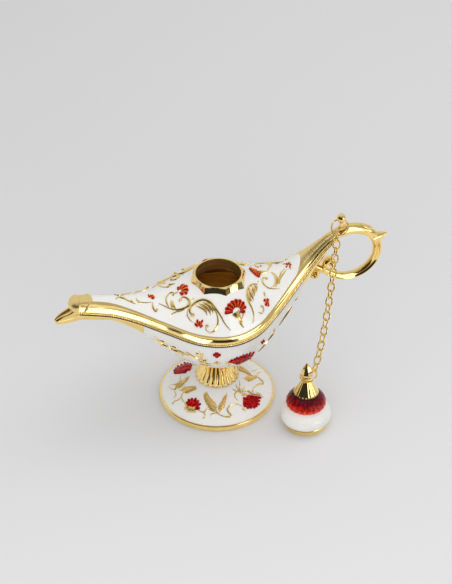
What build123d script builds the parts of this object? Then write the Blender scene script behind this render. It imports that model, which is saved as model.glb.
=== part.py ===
from build123d import *
import math
import os

# Genie oil lamp with a chained stopper. Millimetres, +Z up.
# The origin is the middle of the foot's resting ring. +X points to the handle, -X to the spout.

os.makedirs("parts", exist_ok=True)

# Fits
FIT = 0.1  # gap all round where one piece plugs into another
SCREW_FIT = 0.05  # gap round a screw or stud in its hole
WIRE_GAP = 0.2  # gap between two chain wires that hook each other

# Foot
FOOT_R = 34.0
FOOT_RIM_H = 3.8
FOOT_RIM_LEDGE = 0.9  # flat top of the rim outside the dome
FOOT_RIM_W = 4.0
FOOT_CHAMFER = 0.6
FOOT_TOP_Z = 15.0
FOOT_SEAT_R = 12.9
FOOT_DOME_RISE = 0.9  # how far the dome swells past a straight cone
FOOT_WALL = 2.4
FOOT_BOSS_R = 6.0
FOOT_BOSS_H = 1.6

# Fluted stem
STEM_TOP_Z = 28.6
STEM_LOW_R = 11.3  # core radius under the flutes
STEM_HIGH_R = 7.1
FLUTE_COUNT = 26
FLUTE_LOW_R = 1.3
FLUTE_HIGH_R = 0.8
STEM_BEAD_R = 8.6
STEM_BEAD_H = 2.0

# Pedestal screw
SCREW_R = 2.5
SCREW_HEAD_R = 4.6
SCREW_HEAD_H = 2.6
SCREW_BITE = 8.0  # length held by the bowl's boss
SCREW_SLOT_W = 1.2
SCREW_SLOT_D = 1.1
WASHER_R = 5.4
WASHER_T = 0.8
BOSS_R = 6.0
BOSS_CAP = 2.5  # metal left above the blind hole

# Body: x, seam height, half width, moulding height, ridge height, keel height
BODY = [
    (-84.0, 83.6, 5.6, 6.2, 90.5, 79.3),
    (-75.0, 82.0, 6.2, 7.1, 90.2, 76.5),
    (-62.0, 78.5, 7.2, 6.9, 87.6, 71.0),
    (-50.0, 74.5, 10.8, 6.1, 85.0, 63.0),
    (-36.0, 70.5, 19.0, 5.6, 84.0, 50.0),
    (-18.0, 67.0, 31.0, 5.3, 87.0, 36.0),
    (0.0, 66.0, 35.3, 4.8, 92.5, 30.0),
    (16.0, 67.2, 31.5, 4.9, 88.2, 34.0),
    (30.0, 71.5, 22.0, 5.6, 86.5, 44.5),
    (42.0, 78.0, 13.5, 6.4, 89.2, 58.0),
    (52.0, 86.5, 8.0, 6.2, 95.6, 72.0),
    (60.0, 94.6, 5.2, 5.0, 101.6, 84.6),
    (66.0, 100.3, 4.0, 4.0, 105.9, 93.6),
    (72.0, 104.9, 3.3, 3.3, 109.0, 101.2),
]
# Rounded nose of the cover, same columns without the keel
NOSE = [(-86.5, 84.0, 2.4, 3.6, 88.4), (-85.7, 83.8, 4.4, 5.2, 89.7)]
# Pouring beak of the bowl: x, half width, top, bottom
BEAK = [
    (-95.4, 1.0, 77.6, 75.8),
    (-94.4, 2.1, 78.6, 75.2),
    (-91.5, 3.4, 80.8, 75.5),
    (-87.0, 4.6, 83.2, 76.6),
    (-81.0, 5.2, 87.2, 78.2),
]
BEAK_SLIT_W = 2.6
BEAK_FLOOR = 1.5
MOULD_LEAN = 0.45  # inward lean of the moulding per unit of its height
MOULD_SWELL = 0.17  # swell of the moulding per unit of its height
LIP_SETBACK = 0.6  # bowl rim inside the moulding
LIP_H = 1.2
LIP_T = 0.5
WALL = 1.8
CAVITY_FROM_X = -80.0
CAVITY_TO_X = 47.0
SEAM_OVERLAP = 2.0  # the two skins pass the seam by this much before they are trimmed to it

# Neck
NECK_X = 1.0
MOUTH_R = 13.1
NECK_WALL = 1.4
NECK_TOP_Z = 91.3
NECK_RIM_H = 1.1
NECK_LOW_Z = 83.0
NECK_SIDES = 8
NECK_SKIRT_R = 18.2  # corner radius of the faceted skirt at its lowest point
NECK_SKIRT_TOP_R = 15.9

# Handle loop, in the plane y = 0
LOOP_X = 79.5
LOOP_Z = 90.0
LOOP_R = 17.0
LOOP_THICK = [(100, 3.35), (70, 3.3), (35, 3.05), (0, 2.85), (-45, 2.6), (-90, 2.45), (-128, 2.3)]
LOOP_START_Y_R = 3.2  # half width where the loop butts against the arm
LOOP_TAIL = (61.6, 82.6)  # middle of the tube where it meets the bowl's tail
LOOP_TAIL_R = 2.0
INNER_SCROLL = (67.7, 84.7, 3.6)
OUTER_SCROLL = (57.9, 77.4, 2.6)
SCROLL_ROOT_R = 1.8
SCROLL_NECK_R = 1.3
HORN = [(93.8, 97.4, 2.3), (98.6, 99.0, 1.35), (102.0, 100.5, 0.4)]

# Ball peg on the handle
PEG_X = 74.0
PEG_BALL_Z = 116.5
PEG_BALL_R = 2.8
PEG_POST_R = 1.1
PEG_FOOT_R = 1.9
PEG_FOOT_H = 0.9
PEG_SPIGOT = 3.5  # depth in the handle
PEG_SINK = 0.5  # flat that the peg's foot stands on, below the top of the loop

# Chain
WIRE = 0.9
WIRE_SIDES = 8
LINK_PITCH = 4.4
LINK_HALF_W = 1.95  # to the middle of the wire
LINK_ARC_STEPS = 6
RING_R = 4.9  # to the middle of the wire
RING_STEPS = 20
CHAIN_SPARE = 1.01  # least chain length per unit of straight distance
CHAIN_PASSES = 8  # passes that settle the last link on the stopper ring
PEG_RING_HEADING = 235.0  # direction that the ring leans to, degrees from +X
PEG_RING_TILT = 33.5  # from level
PEG_RING_DROP = 0.35  # from the ball down to the top of the ring's wire
SLANT_GAP = 0.45  # gap where the last link crosses the stopper ring at a slant
STOPPER_RING_HEADING = 22.0
STOPPER_RING_TILT = 22.0

# Stopper, standing beside the lamp
STOPPER_X = 43.2
STOPPER_Y = -38.5
PLUG_R = 12.6
PLUG_H = 4.2
PLUG_WALL = 1.6
BULB_R = 14.9
BULB_MID_Z = 9.2
BULB_TOP_Z = 16.6
BULB_TOP_R = 10.6
GEM_R = 11.6
GEM_MID_Z = 19.2
GEM_TOP_Z = 25.4
GEM_TOP_R = 6.4
GEM_LOBES = 16
GEM_GROOVE_R = 0.9
CONE_R = 7.3
CONE_SIDES = 16
CONE_TOP_Z = 32.6
NECKLET_R = 2.5
NECKLET_H = 1.8
BUD_R = 3.9
BUD_MID_Z = 38.4
BUD_SIDES = 8
STOPPER_H = 45.0
BUD_TIP_R = 0.35
STUD_R = 1.5
STUD_IN_CONE = 5.0
NUT_R = 3.2
NUT_H = 2.4


def save(builder, name):
    builder.part.label = name
    export_step(builder.part, f"parts/{name}.step")


def unit(v):
    return v * (1 / v.length)


def heading(degrees):
    return Vector(math.cos(math.radians(degrees)), math.sin(math.radians(degrees)), 0)


def sloped(degrees, tilt):
    """Direction that runs to a heading and rises by a tilt."""
    return heading(degrees) * math.cos(math.radians(tilt)) + Vector(0, 0, math.sin(math.radians(tilt)))


def moulding_top(half_w, seam_z, mould_h):
    return half_w - MOULD_LEAN * mould_h, seam_z + mould_h


def cover_face(x, seam_z, half_w, mould_h, ridge_z):
    """Half-round moulding on each side and a crowned panel between them."""
    top_y, top_z = moulding_top(half_w, seam_z, mould_h)
    swell = Vector(1, MOULD_LEAN) * (MOULD_SWELL * mould_h)
    mid = Vector((half_w + top_y) / 2, (seam_z + top_z) / 2) + swell
    low_z = seam_z - SEAM_OVERLAP
    with BuildSketch(Plane.YZ.offset(x)) as face:
        with BuildLine():
            Bezier((-top_y, top_z), (0, 2 * ridge_z - top_z), (top_y, top_z))
            ThreePointArc((top_y, top_z), (mid.X, mid.Y), (half_w, seam_z))
            Polyline((half_w, seam_z), (half_w, low_z), (-half_w, low_z), (-half_w, seam_z))
            ThreePointArc((-half_w, seam_z), (-mid.X, mid.Y), (-top_y, top_z))
        make_face()
    return face


def bowl_face(x, seam_z, half_w, keel_z):
    """Half ellipse under a narrow upright lip."""
    lip_y = half_w - LIP_SETBACK
    wall_y = lip_y - LIP_T
    low_z = seam_z - LIP_H
    high_z = seam_z + SEAM_OVERLAP
    with BuildSketch(Plane.YZ.offset(x)) as face:
        with BuildLine():
            EllipticalCenterArc((0, low_z), wall_y, low_z - keel_z, start_angle=180, arc_size=180)
            Polyline((wall_y, low_z), (lip_y, low_z), (lip_y, high_z), (-lip_y, high_z))
            Polyline((-lip_y, high_z), (-lip_y, low_z), (-wall_y, low_z))
        make_face()
    return face


def cavity_face(x, seam_z, half_w, mould_h, ridge_z, keel_z):
    """Hollow inside both shells, one wall in from the skins."""
    in_y = half_w - LIP_SETBACK - LIP_T - WALL
    with BuildSketch(Plane.YZ.offset(x)) as face:
        with BuildLine():
            Bezier((-in_y, seam_z), (0, 2 * (ridge_z - WALL) - seam_z), (in_y, seam_z))
            EllipticalCenterArc((0, seam_z), in_y, seam_z - keel_z - WALL, start_angle=180, arc_size=180)
        make_face()
    return face


# Seam: everything under the line where the two body halves meet
seam_line = [(x, z) for x, z, *_ in BODY]
seam_zs = [z for _, z in seam_line]
seam_start = (BEAK[0][0] - WALL, NOSE[0][1])
seam_end = (BODY[-1][0] + WALL, BODY[-1][1] + WALL)
with BuildPart() as under_seam:
    with BuildSketch(Plane.XZ):
        with BuildLine():
            Spline(seam_start, *seam_line, seam_end)
            Polyline(seam_end, (seam_end[0], 0), (seam_start[0], 0), seam_start)
        make_face()
    extrude(amount=2 * max(w for _, _, w, *_ in BODY), both=True)

# Hollow of the body
with BuildPart() as cavity:
    for station in BODY[:-1]:
        add(cavity_face(*station).sketch)
    loft()
    with BuildSketch(Plane.YZ.offset(CAVITY_FROM_X)):
        Rectangle(4 * FOOT_R, 4 * NECK_TOP_Z)
    extrude(amount=CAVITY_TO_X - CAVITY_FROM_X, mode=Mode.INTERSECT)

# Cover: upper half of the body with its rounded edge moulding
with BuildPart() as cover_skin:
    for x, seam_z, half_w, mould_h, ridge_z in NOSE + [s[:5] for s in BODY]:
        add(cover_face(x, seam_z, half_w, mould_h, ridge_z).sketch)
    loft()

with BuildPart() as cover:
    add(cover_skin.part)
    add(under_seam.part, mode=Mode.SUBTRACT)
    add(cavity.part, mode=Mode.SUBTRACT)
    with Locations((NECK_X, 0, NECK_TOP_Z)):
        Cylinder(MOUTH_R + NECK_WALL + FIT, 2 * (NECK_TOP_Z - min(seam_zs)), mode=Mode.SUBTRACT)
save(cover, "cover")

# Bowl: lower half of the body, with the pouring beak and the boss for the pedestal screw
stem_end_z = STEM_TOP_Z + STEM_BEAD_H
with BuildPart() as bowl_skin:
    for x, seam_z, half_w, _, _, keel_z in BODY:
        add(bowl_face(x, seam_z, half_w, keel_z).sketch)
    loft()

with BuildPart() as beak:
    for x, half_w, top_z, low_z in BEAK:
        with BuildSketch(Plane.YZ.offset(x)):
            with Locations((0, (top_z + low_z) / 2)):
                Ellipse(half_w, (top_z - low_z) / 2)
    loft()

slit_back_x = CAVITY_FROM_X + BEAK_SLIT_W
boss_top_z = stem_end_z + SCREW_BITE + BOSS_CAP
with BuildPart() as bowl:
    add(bowl_skin.part)
    add(beak.part)
    add(under_seam.part, mode=Mode.INTERSECT)
    add(cavity.part, mode=Mode.SUBTRACT)
    with BuildSketch(Plane.XZ):
        with BuildLine():
            floor = [(x, low_z + BEAK_FLOOR) for x, _, _, low_z in BEAK[1:]]
            back = [(slit_back_x, floor[-1][1]), (slit_back_x, NECK_TOP_Z), (floor[0][0], NECK_TOP_Z)]
            Polyline(*floor, *back, close=True)
        make_face()
    extrude(amount=BEAK_SLIT_W / 2, both=True, mode=Mode.SUBTRACT)
    with BuildSketch(Plane.XY.offset(stem_end_z)):
        Circle(BOSS_R)
    extrude(amount=boss_top_z - stem_end_z)
    with BuildSketch(Plane.XY.offset(stem_end_z)):
        Circle(STEM_BEAD_R + WALL)
    extrude(amount=-stem_end_z, mode=Mode.SUBTRACT)
    with BuildSketch(Plane.XY.offset(stem_end_z)):
        Circle(SCREW_R + SCREW_FIT)
    extrude(amount=SCREW_BITE, mode=Mode.SUBTRACT)
save(bowl, "bowl")

# Neck collar: faceted skirt seated on the cover, with a round sleeve through its hole
with BuildPart() as neck_collar:
    skirt_top_z = NECK_TOP_Z - NECK_RIM_H
    with BuildSketch(Plane((NECK_X, 0, NECK_LOW_Z))):
        RegularPolygon(NECK_SKIRT_R, NECK_SIDES)
    with BuildSketch(Plane((NECK_X, 0, skirt_top_z))):
        RegularPolygon(NECK_SKIRT_TOP_R, NECK_SIDES)
    loft(ruled=True)
    add(cover_skin.part, mode=Mode.SUBTRACT)
    with BuildSketch(Plane((NECK_X, 0, NECK_LOW_Z))):
        Circle(MOUTH_R + NECK_WALL)
    extrude(amount=NECK_TOP_Z - NECK_LOW_Z)
    with BuildSketch(Plane((NECK_X, 0, NECK_LOW_Z))):
        Circle(MOUTH_R)
    extrude(amount=NECK_TOP_Z - NECK_LOW_Z, mode=Mode.SUBTRACT)
    rim = neck_collar.edges().filter_by(GeomType.CIRCLE).group_by(Axis.Z)[-1]
    fillet(rim, NECK_WALL / 3)
save(neck_collar, "neck_collar")

# Foot: hollow dome on a gilt rim
with BuildPart() as foot:
    screw_hole_r = SCREW_R + FIT
    dome_out = (FOOT_R - FOOT_RIM_LEDGE, FOOT_RIM_H)
    dome_in = (FOOT_SEAT_R, FOOT_TOP_Z)
    hollow_out = (FOOT_R - FOOT_RIM_W, FOOT_RIM_H - FOOT_WALL)
    hollow_in = (FOOT_SEAT_R - FOOT_WALL, FOOT_TOP_Z - FOOT_WALL)
    with BuildSketch(Plane.XZ):
        with BuildLine():
            SagittaArc(dome_in, dome_out, FOOT_DOME_RISE)
            Polyline(
                dome_out,
                (FOOT_R, FOOT_RIM_H),
                (FOOT_R, FOOT_CHAMFER),
                (FOOT_R - FOOT_CHAMFER, 0),
                (hollow_out[0], 0),
                hollow_out,
            )
            SagittaArc(hollow_in, hollow_out, FOOT_DOME_RISE)
            Polyline(
                hollow_in,
                (screw_hole_r, hollow_in[1]),
                (screw_hole_r, FOOT_TOP_Z + FOOT_BOSS_H),
                (FOOT_BOSS_R, FOOT_TOP_Z + FOOT_BOSS_H),
                (FOOT_BOSS_R, FOOT_TOP_Z),
                dome_in,
            )
        make_face()
    revolve(axis=Axis.Z)
save(foot, "foot")

# Stem: fluted skirt with a bead under the bowl
with BuildPart() as stem:
    with BuildSketch(Plane.XZ):
        with BuildLine():
            Polyline(
                (0, FOOT_TOP_Z),
                (STEM_LOW_R, FOOT_TOP_Z),
                (STEM_HIGH_R, STEM_TOP_Z),
                (STEM_BEAD_R - STEM_BEAD_H / 2, STEM_TOP_Z),
            )
            ThreePointArc(
                (STEM_BEAD_R - STEM_BEAD_H / 2, STEM_TOP_Z),
                (STEM_BEAD_R, STEM_TOP_Z + STEM_BEAD_H / 2),
                (STEM_BEAD_R - STEM_BEAD_H / 2, stem_end_z),
            )
            Polyline((STEM_BEAD_R - STEM_BEAD_H / 2, stem_end_z), (0, stem_end_z), (0, FOOT_TOP_Z))
        make_face()
    revolve(axis=Axis.Z)
    slope = Vector(STEM_HIGH_R - STEM_LOW_R, 0, STEM_TOP_Z - FOOT_TOP_Z)
    for turn in range(FLUTE_COUNT):
        spin = Plane(origin=(0, 0, 0), x_dir=heading(turn * 360 / FLUTE_COUNT), z_dir=(0, 0, 1))
        low = Plane(spin.from_local_coords((STEM_LOW_R, 0, FOOT_TOP_Z)), z_dir=(0, 0, 1))
        high = Plane(spin.from_local_coords((STEM_HIGH_R, 0, STEM_TOP_Z)), z_dir=(0, 0, 1))
        with BuildSketch(low):
            Circle(FLUTE_LOW_R)
        with BuildSketch(high):
            Circle(FLUTE_HIGH_R)
        loft()
    with BuildSketch(Plane.XY.offset(FOOT_TOP_Z)):
        Circle(FOOT_BOSS_R + FIT)
    extrude(amount=FOOT_BOSS_H + FIT, mode=Mode.SUBTRACT)
    with BuildSketch(Plane.XY.offset(FOOT_TOP_Z)):
        Circle(screw_hole_r)
    extrude(amount=stem_end_z - FOOT_TOP_Z, mode=Mode.SUBTRACT)
save(stem, "stem")

# Pedestal screw and washer, up through the foot and the stem into the bowl
washer_z = FOOT_TOP_Z - FOOT_WALL - WASHER_T
with BuildPart() as pedestal_washer:
    with BuildSketch(Plane.XY.offset(washer_z)):
        Circle(WASHER_R)
        Circle(screw_hole_r, mode=Mode.SUBTRACT)
    extrude(amount=WASHER_T)
save(pedestal_washer, "pedestal_washer")

with BuildPart() as pedestal_screw:
    with BuildSketch(Plane.XY.offset(washer_z)):
        Circle(SCREW_R)
    extrude(amount=stem_end_z + SCREW_BITE - FIT - washer_z)
    with BuildSketch(Plane.XY.offset(washer_z)):
        Circle(SCREW_HEAD_R)
    extrude(amount=-SCREW_HEAD_H)
    fillet(pedestal_screw.edges().filter_by(GeomType.CIRCLE).group_by(Axis.Z)[0], SCREW_HEAD_H / 3)
    with BuildSketch(Plane.XY.offset(washer_z - SCREW_HEAD_H)):
        Rectangle(2 * SCREW_HEAD_R, SCREW_SLOT_W)
    extrude(amount=SCREW_SLOT_D, mode=Mode.SUBTRACT)
save(pedestal_screw, "pedestal_screw")


def loop_plane(degrees):
    """Plane across the loop's tube at an angle round the loop."""
    out = Vector(math.cos(math.radians(degrees)), 0, math.sin(math.radians(degrees)))
    return Plane(Vector(LOOP_X, 0, LOOP_Z) + out * LOOP_R, x_dir=(0, 1, 0), z_dir=out.cross(Vector(0, 1, 0)))


# Handle loop: tapering ring with two scroll balls and a horn
arm_end_x = BODY[-1][0]
start_rise = math.sqrt(LOOP_R**2 - (LOOP_X - arm_end_x) ** 2)
with BuildPart() as handle_loop:
    with BuildSketch(Plane.YZ.offset(arm_end_x)):
        with Locations((0, LOOP_Z + start_rise)):
            Ellipse(LOOP_START_Y_R, LOOP_START_Y_R * LOOP_R / start_rise)
    for degrees, thick in LOOP_THICK:
        with BuildSketch(loop_plane(degrees)):
            Circle(thick)
    last = loop_plane(LOOP_THICK[-1][0])
    tail = Vector(LOOP_TAIL[0], 0, LOOP_TAIL[1])
    with BuildSketch(Plane(tail, x_dir=(0, 1, 0), z_dir=last.z_dir)):
        Circle(LOOP_TAIL_R)
    loft()
    for x, z, radius in (INNER_SCROLL, OUTER_SCROLL):
        with Locations((x, 0, z)):
            Sphere(radius)
    curl = Vector(OUTER_SCROLL[0], 0, OUTER_SCROLL[1])
    for spot, radius in ((tail, SCROLL_ROOT_R), (curl, SCROLL_NECK_R)):
        with BuildSketch(Plane(spot, z_dir=curl - tail)):
            Circle(radius)
    loft()
    for index, (x, z, radius) in enumerate(HORN):
        ahead = HORN[min(index + 1, len(HORN) - 1)]
        behind = HORN[max(index - 1, 0)]
        along = Vector(ahead[0] - behind[0], 0, ahead[1] - behind[1])
        with BuildSketch(Plane((x, 0, z), x_dir=(0, 1, 0), z_dir=along)):
            Circle(radius)
    loft()
    add(bowl_skin.part, mode=Mode.SUBTRACT)
    peg_rise = math.sqrt(LOOP_R**2 - (LOOP_X - PEG_X) ** 2)
    peg_seat_z = LOOP_Z + peg_rise + LOOP_THICK[0][1] - PEG_SINK
    with BuildSketch(Plane((PEG_X, 0, peg_seat_z))):
        Circle(PEG_FOOT_R + FIT)
    extrude(amount=PEG_FOOT_R, mode=Mode.SUBTRACT)
    with BuildSketch(Plane((PEG_X, 0, peg_seat_z))):
        Circle(PEG_POST_R + SCREW_FIT)
    extrude(amount=-PEG_SPIGOT, mode=Mode.SUBTRACT)
save(handle_loop, "handle_loop")

# Ball peg that the chain hangs on
with BuildPart() as chain_peg:
    with BuildSketch(Plane((PEG_X, 0, peg_seat_z - PEG_SPIGOT + FIT))):
        Circle(PEG_POST_R)
    extrude(amount=PEG_BALL_Z - peg_seat_z + PEG_SPIGOT - FIT)
    with BuildSketch(Plane((PEG_X, 0, peg_seat_z))):
        Circle(PEG_FOOT_R)
    extrude(amount=PEG_FOOT_H)
    with Locations((PEG_X, 0, PEG_BALL_Z)):
        Sphere(PEG_BALL_R)
save(chain_peg, "chain_peg")


def wire_path(half_straight, radius, steps):
    """Planes across the wire along one end of a link: half a straight side, the arc, half the other side."""
    planes = []
    if half_straight > 0:
        planes.append(Plane((0, radius, 0), x_dir=(0, 1, 0), z_dir=(1, 0, 0)))
    for step in range(steps + 1):
        angle = math.pi / 2 - math.pi * step / steps
        out = Vector(math.cos(angle), math.sin(angle), 0)
        forward = Vector(math.sin(angle), -math.cos(angle), 0)
        planes.append(Plane(Vector(half_straight, 0, 0) + out * radius, x_dir=out, z_dir=forward))
    if half_straight > 0:
        planes.append(Plane((0, -radius, 0), x_dir=(0, -1, 0), z_dir=(-1, 0, 0)))
    return planes


def wire_half(half_straight, radius, steps):
    with BuildPart() as half:
        for plane in wire_path(half_straight, radius, steps):
            with BuildSketch(plane):
                RegularPolygon(WIRE / 2, WIRE_SIDES, rotation=180 / WIRE_SIDES)
        loft(ruled=True)
    return half.part


# One link and one ring of wire, lying in their own XY planes
link_length = LINK_PITCH + WIRE + WIRE_GAP  # between the middles of the wire at the two ends
half_link = wire_half(link_length / 2 - LINK_HALF_W, LINK_HALF_W, LINK_ARC_STEPS)
with BuildPart() as link_form:
    add(half_link)
    mirror(half_link, about=Plane.YZ)

half_ring = wire_half(0, RING_R, RING_STEPS // 2)
with BuildPart() as ring_form:
    add(half_ring)
    mirror(half_ring, about=Plane.YZ)

# Peg ring: passes behind the post just under the ball and leans over the arm
peg_axis = Vector(PEG_X, 0, 0)
peg_out = heading(PEG_RING_HEADING)
peg_down = sloped(PEG_RING_HEADING, -PEG_RING_TILT)
hook_back = PEG_POST_R + WIRE / 2 + WIRE_GAP
ball_under_z = PEG_BALL_Z - math.sqrt(PEG_BALL_R**2 - hook_back**2)
hook = peg_axis - peg_out * hook_back + Vector(0, 0, ball_under_z - PEG_RING_DROP - WIRE / 2)
first_normal = Vector(0, 0, 1).cross(peg_out)
peg_ring_plane = Plane(hook + peg_down * RING_R, x_dir=peg_down, z_dir=peg_down.cross(first_normal))
with BuildPart() as peg_ring:
    add(ring_form.part.moved(peg_ring_plane.location))
save(peg_ring, "peg_ring")

# Stopper ring: lies round the bud's neck and rises towards the chain
stopper_axis = Vector(STOPPER_X, STOPPER_Y, 0)
ring_out = heading(STOPPER_RING_HEADING)
ring_up = sloped(STOPPER_RING_HEADING, STOPPER_RING_TILT)
ring_low_z = CONE_TOP_Z + NECKLET_H / 2 + WIRE / 4
ring_low = stopper_axis - ring_out * (NECKLET_R + WIRE / 2 + WIRE_GAP) + Vector(0, 0, ring_low_z)
last_normal = Vector(0, 0, 1).cross(ring_out)
stopper_ring_plane = Plane(ring_low + ring_up * RING_R, x_dir=ring_up, z_dir=ring_up.cross(last_normal))
with BuildPart() as stopper_ring:
    add(ring_form.part.moved(stopper_ring_plane.location))
save(stopper_ring, "stopper_ring")


def catenary(start, end, length, count):
    """Points at equal steps along a chain of a given length that hangs between two points."""
    flat = Vector(end.X - start.X, end.Y - start.Y, 0)
    span = flat.length
    rise = end.Z - start.Z
    low, high = span / 200, span * 200
    for _ in range(80):
        scale = math.sqrt(low * high)
        ratio = span / (2 * scale)
        too_long = ratio > 100 or 2 * scale * math.sinh(ratio) > math.sqrt(length**2 - rise**2)
        low, high = (scale, high) if too_long else (low, scale)
    bottom = span / 2 - scale * math.asinh(rise / (2 * scale * math.sinh(span / (2 * scale))))
    points = []
    for index in range(count + 1):
        run = index * length / count
        across = bottom + scale * math.asinh(run / scale + math.sinh(-bottom / scale))
        drop = scale * (math.cosh((across - bottom) / scale) - math.cosh(bottom / scale))
        points.append(start + flat * (across / span) + Vector(0, 0, drop))
    return points


# Chain: hinge points along a hanging curve, one link between each two, each a quarter turn on from the last
chain_start = hook + peg_down * (2 * RING_R)
ring_top = ring_low + ring_up * (2 * RING_R)
link_count = math.ceil((ring_top - chain_start).length * CHAIN_SPARE / LINK_PITCH)
hinges = [chain_start, ring_top]
for _ in range(CHAIN_PASSES):
    chain_end = ring_top + unit(hinges[-1] - hinges[-2]) * (WIRE + SLANT_GAP)
    hinges = catenary(chain_start, chain_end, link_count * LINK_PITCH, link_count)


def link_plane(index):
    """Frame of a link: X along the chain, Z across the link's flat."""
    along = unit(hinges[index + 1] - hinges[index])
    side = unit(first_normal - along * first_normal.dot(along))
    end_side = unit(last_normal - along * last_normal.dot(along))
    twist = math.degrees(math.atan2(along.dot(side.cross(end_side)), side.dot(end_side)))
    twist += 90 * ((link_count + 1) % 2)
    twist = (twist + 90) % 180 - 90
    quarter_turns = index * 90 + twist * index / (link_count - 1)
    normal = side.rotate(Axis((0, 0, 0), along), quarter_turns)
    middle = hinges[index + 1] - along * (link_length / 2)
    return Plane(middle, x_dir=along, z_dir=normal)


for number in range(link_count):
    with BuildPart() as link:
        add(link_form.part.moved(link_plane(number).location))
    save(link, f"chain_link_{number + 1:02d}")


def turned(points, upper_arc):
    """Profile of a turned stopper piece: straight inner points, then an arc back to the first."""
    with BuildSketch(Plane.XZ) as profile:
        with BuildLine():
            Polyline(*points)
            ThreePointArc(points[-1], upper_arc, points[0])
        make_face()
    return profile


stopper_place = Location((STOPPER_X, STOPPER_Y, 0))
stud_hole_r = STUD_R + SCREW_FIT

# Stopper plug: open gilt cup that fits the neck
with BuildPart() as plug_form:
    with BuildSketch():
        Circle(PLUG_R)
    extrude(amount=PLUG_H)
    chamfer(plug_form.edges().group_by(Axis.Z)[0], PLUG_WALL / 4)
    with BuildSketch():
        Circle(PLUG_R - PLUG_WALL)
    extrude(amount=PLUG_H - PLUG_WALL, mode=Mode.SUBTRACT)
    with BuildSketch():
        Circle(stud_hole_r)
    extrude(amount=PLUG_H, mode=Mode.SUBTRACT)
with BuildPart() as stopper_plug:
    add(plug_form.part.moved(stopper_place))
save(stopper_plug, "stopper_plug")

# Stopper bulb: white swelling bead
with BuildPart() as bulb_form:
    inside = [(BULB_TOP_R, BULB_TOP_Z), (stud_hole_r, BULB_TOP_Z), (stud_hole_r, PLUG_H), (PLUG_R, PLUG_H)]
    add(turned(inside, (BULB_R, BULB_MID_Z)).sketch)
    revolve(axis=Axis.Z)
with BuildPart() as stopper_bulb:
    add(bulb_form.part.moved(stopper_place))
save(stopper_bulb, "stopper_bulb")

# Stopper gem ring: red bead, grooved round its lower half
with BuildPart() as gem_form:
    bore = [(stud_hole_r, GEM_TOP_Z), (stud_hole_r, BULB_TOP_Z)]
    inside = [(GEM_TOP_R, GEM_TOP_Z), *bore, (BULB_TOP_R, BULB_TOP_Z)]
    add(turned(inside, (GEM_R, GEM_MID_Z)).sketch)
    revolve(axis=Axis.Z)
    with BuildSketch(Plane.XY.offset(BULB_TOP_Z)):
        with PolarLocations(GEM_R, GEM_LOBES):
            Circle(GEM_GROOVE_R)
    extrude(amount=GEM_MID_Z - BULB_TOP_Z, mode=Mode.SUBTRACT)
with BuildPart() as stopper_gem_ring:
    add(gem_form.part.moved(stopper_place))
save(stopper_gem_ring, "stopper_gem_ring")

# Stopper finial: fluted cone, neck and faceted bud
with BuildPart() as finial_form:
    bud_base_z = CONE_TOP_Z + NECKLET_H
    for z, radius in ((GEM_TOP_Z, CONE_R), (CONE_TOP_Z, NECKLET_R)):
        with BuildSketch(Plane.XY.offset(z)):
            RegularPolygon(radius, CONE_SIDES)
    loft(ruled=True)
    with BuildSketch(Plane.XY.offset(CONE_TOP_Z)):
        Circle(NECKLET_R)
    extrude(amount=NECKLET_H)
    for z, radius in ((bud_base_z, NECKLET_R), (BUD_MID_Z, BUD_R), (STOPPER_H, BUD_TIP_R)):
        with BuildSketch(Plane.XY.offset(z)):
            RegularPolygon(radius, BUD_SIDES)
    loft(ruled=True)
    with BuildSketch(Plane.XY.offset(GEM_TOP_Z)):
        Circle(stud_hole_r)
    extrude(amount=STUD_IN_CONE, mode=Mode.SUBTRACT)
with BuildPart() as stopper_finial:
    add(finial_form.part.moved(stopper_place))
save(stopper_finial, "stopper_finial")

# Stud and nut that hold the stopper's pieces together
stud_low_z = PLUG_H - PLUG_WALL - NUT_H
with BuildPart() as stopper_stud:
    with BuildSketch(Plane((STOPPER_X, STOPPER_Y, stud_low_z))):
        Circle(STUD_R)
    extrude(amount=GEM_TOP_Z + STUD_IN_CONE - FIT - stud_low_z)
save(stopper_stud, "stopper_stud")

with BuildPart() as stopper_nut:
    with BuildSketch(Plane((STOPPER_X, STOPPER_Y, stud_low_z))):
        RegularPolygon(NUT_R, 6)
        Circle(stud_hole_r, mode=Mode.SUBTRACT)
    extrude(amount=NUT_H)
save(stopper_nut, "stopper_nut")
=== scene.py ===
import bpy
import math
import numpy
from mathutils import Matrix, Quaternion, Vector


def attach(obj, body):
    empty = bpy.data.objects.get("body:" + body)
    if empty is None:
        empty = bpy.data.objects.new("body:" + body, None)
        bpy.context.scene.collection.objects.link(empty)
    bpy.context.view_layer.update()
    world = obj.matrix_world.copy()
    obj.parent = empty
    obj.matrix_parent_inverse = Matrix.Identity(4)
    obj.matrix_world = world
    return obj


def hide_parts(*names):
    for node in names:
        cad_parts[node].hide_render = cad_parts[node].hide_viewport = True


# Genie oil lamp in gilt metal and white enamel, with a stopper on a chain.
# Sizes are millimetres until a mesh is written, which is in metres.

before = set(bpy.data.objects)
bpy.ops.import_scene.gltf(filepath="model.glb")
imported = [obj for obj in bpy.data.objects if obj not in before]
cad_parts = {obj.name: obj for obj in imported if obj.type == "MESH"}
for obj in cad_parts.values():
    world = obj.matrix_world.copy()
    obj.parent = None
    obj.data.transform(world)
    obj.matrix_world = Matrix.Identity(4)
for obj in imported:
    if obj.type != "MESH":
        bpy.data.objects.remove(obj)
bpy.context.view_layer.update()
MM = 0.001
TURN = 2 * math.pi

# Meshes: sides and rings of large to tiny forms, angle of a sharp edge, reach of a merge in metres
SIDES = 96
FINE = 40
MEDIUM = 24
SMALL = 12
TINY = 10
SHARP = 40
MERGE = 1e-6

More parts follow.
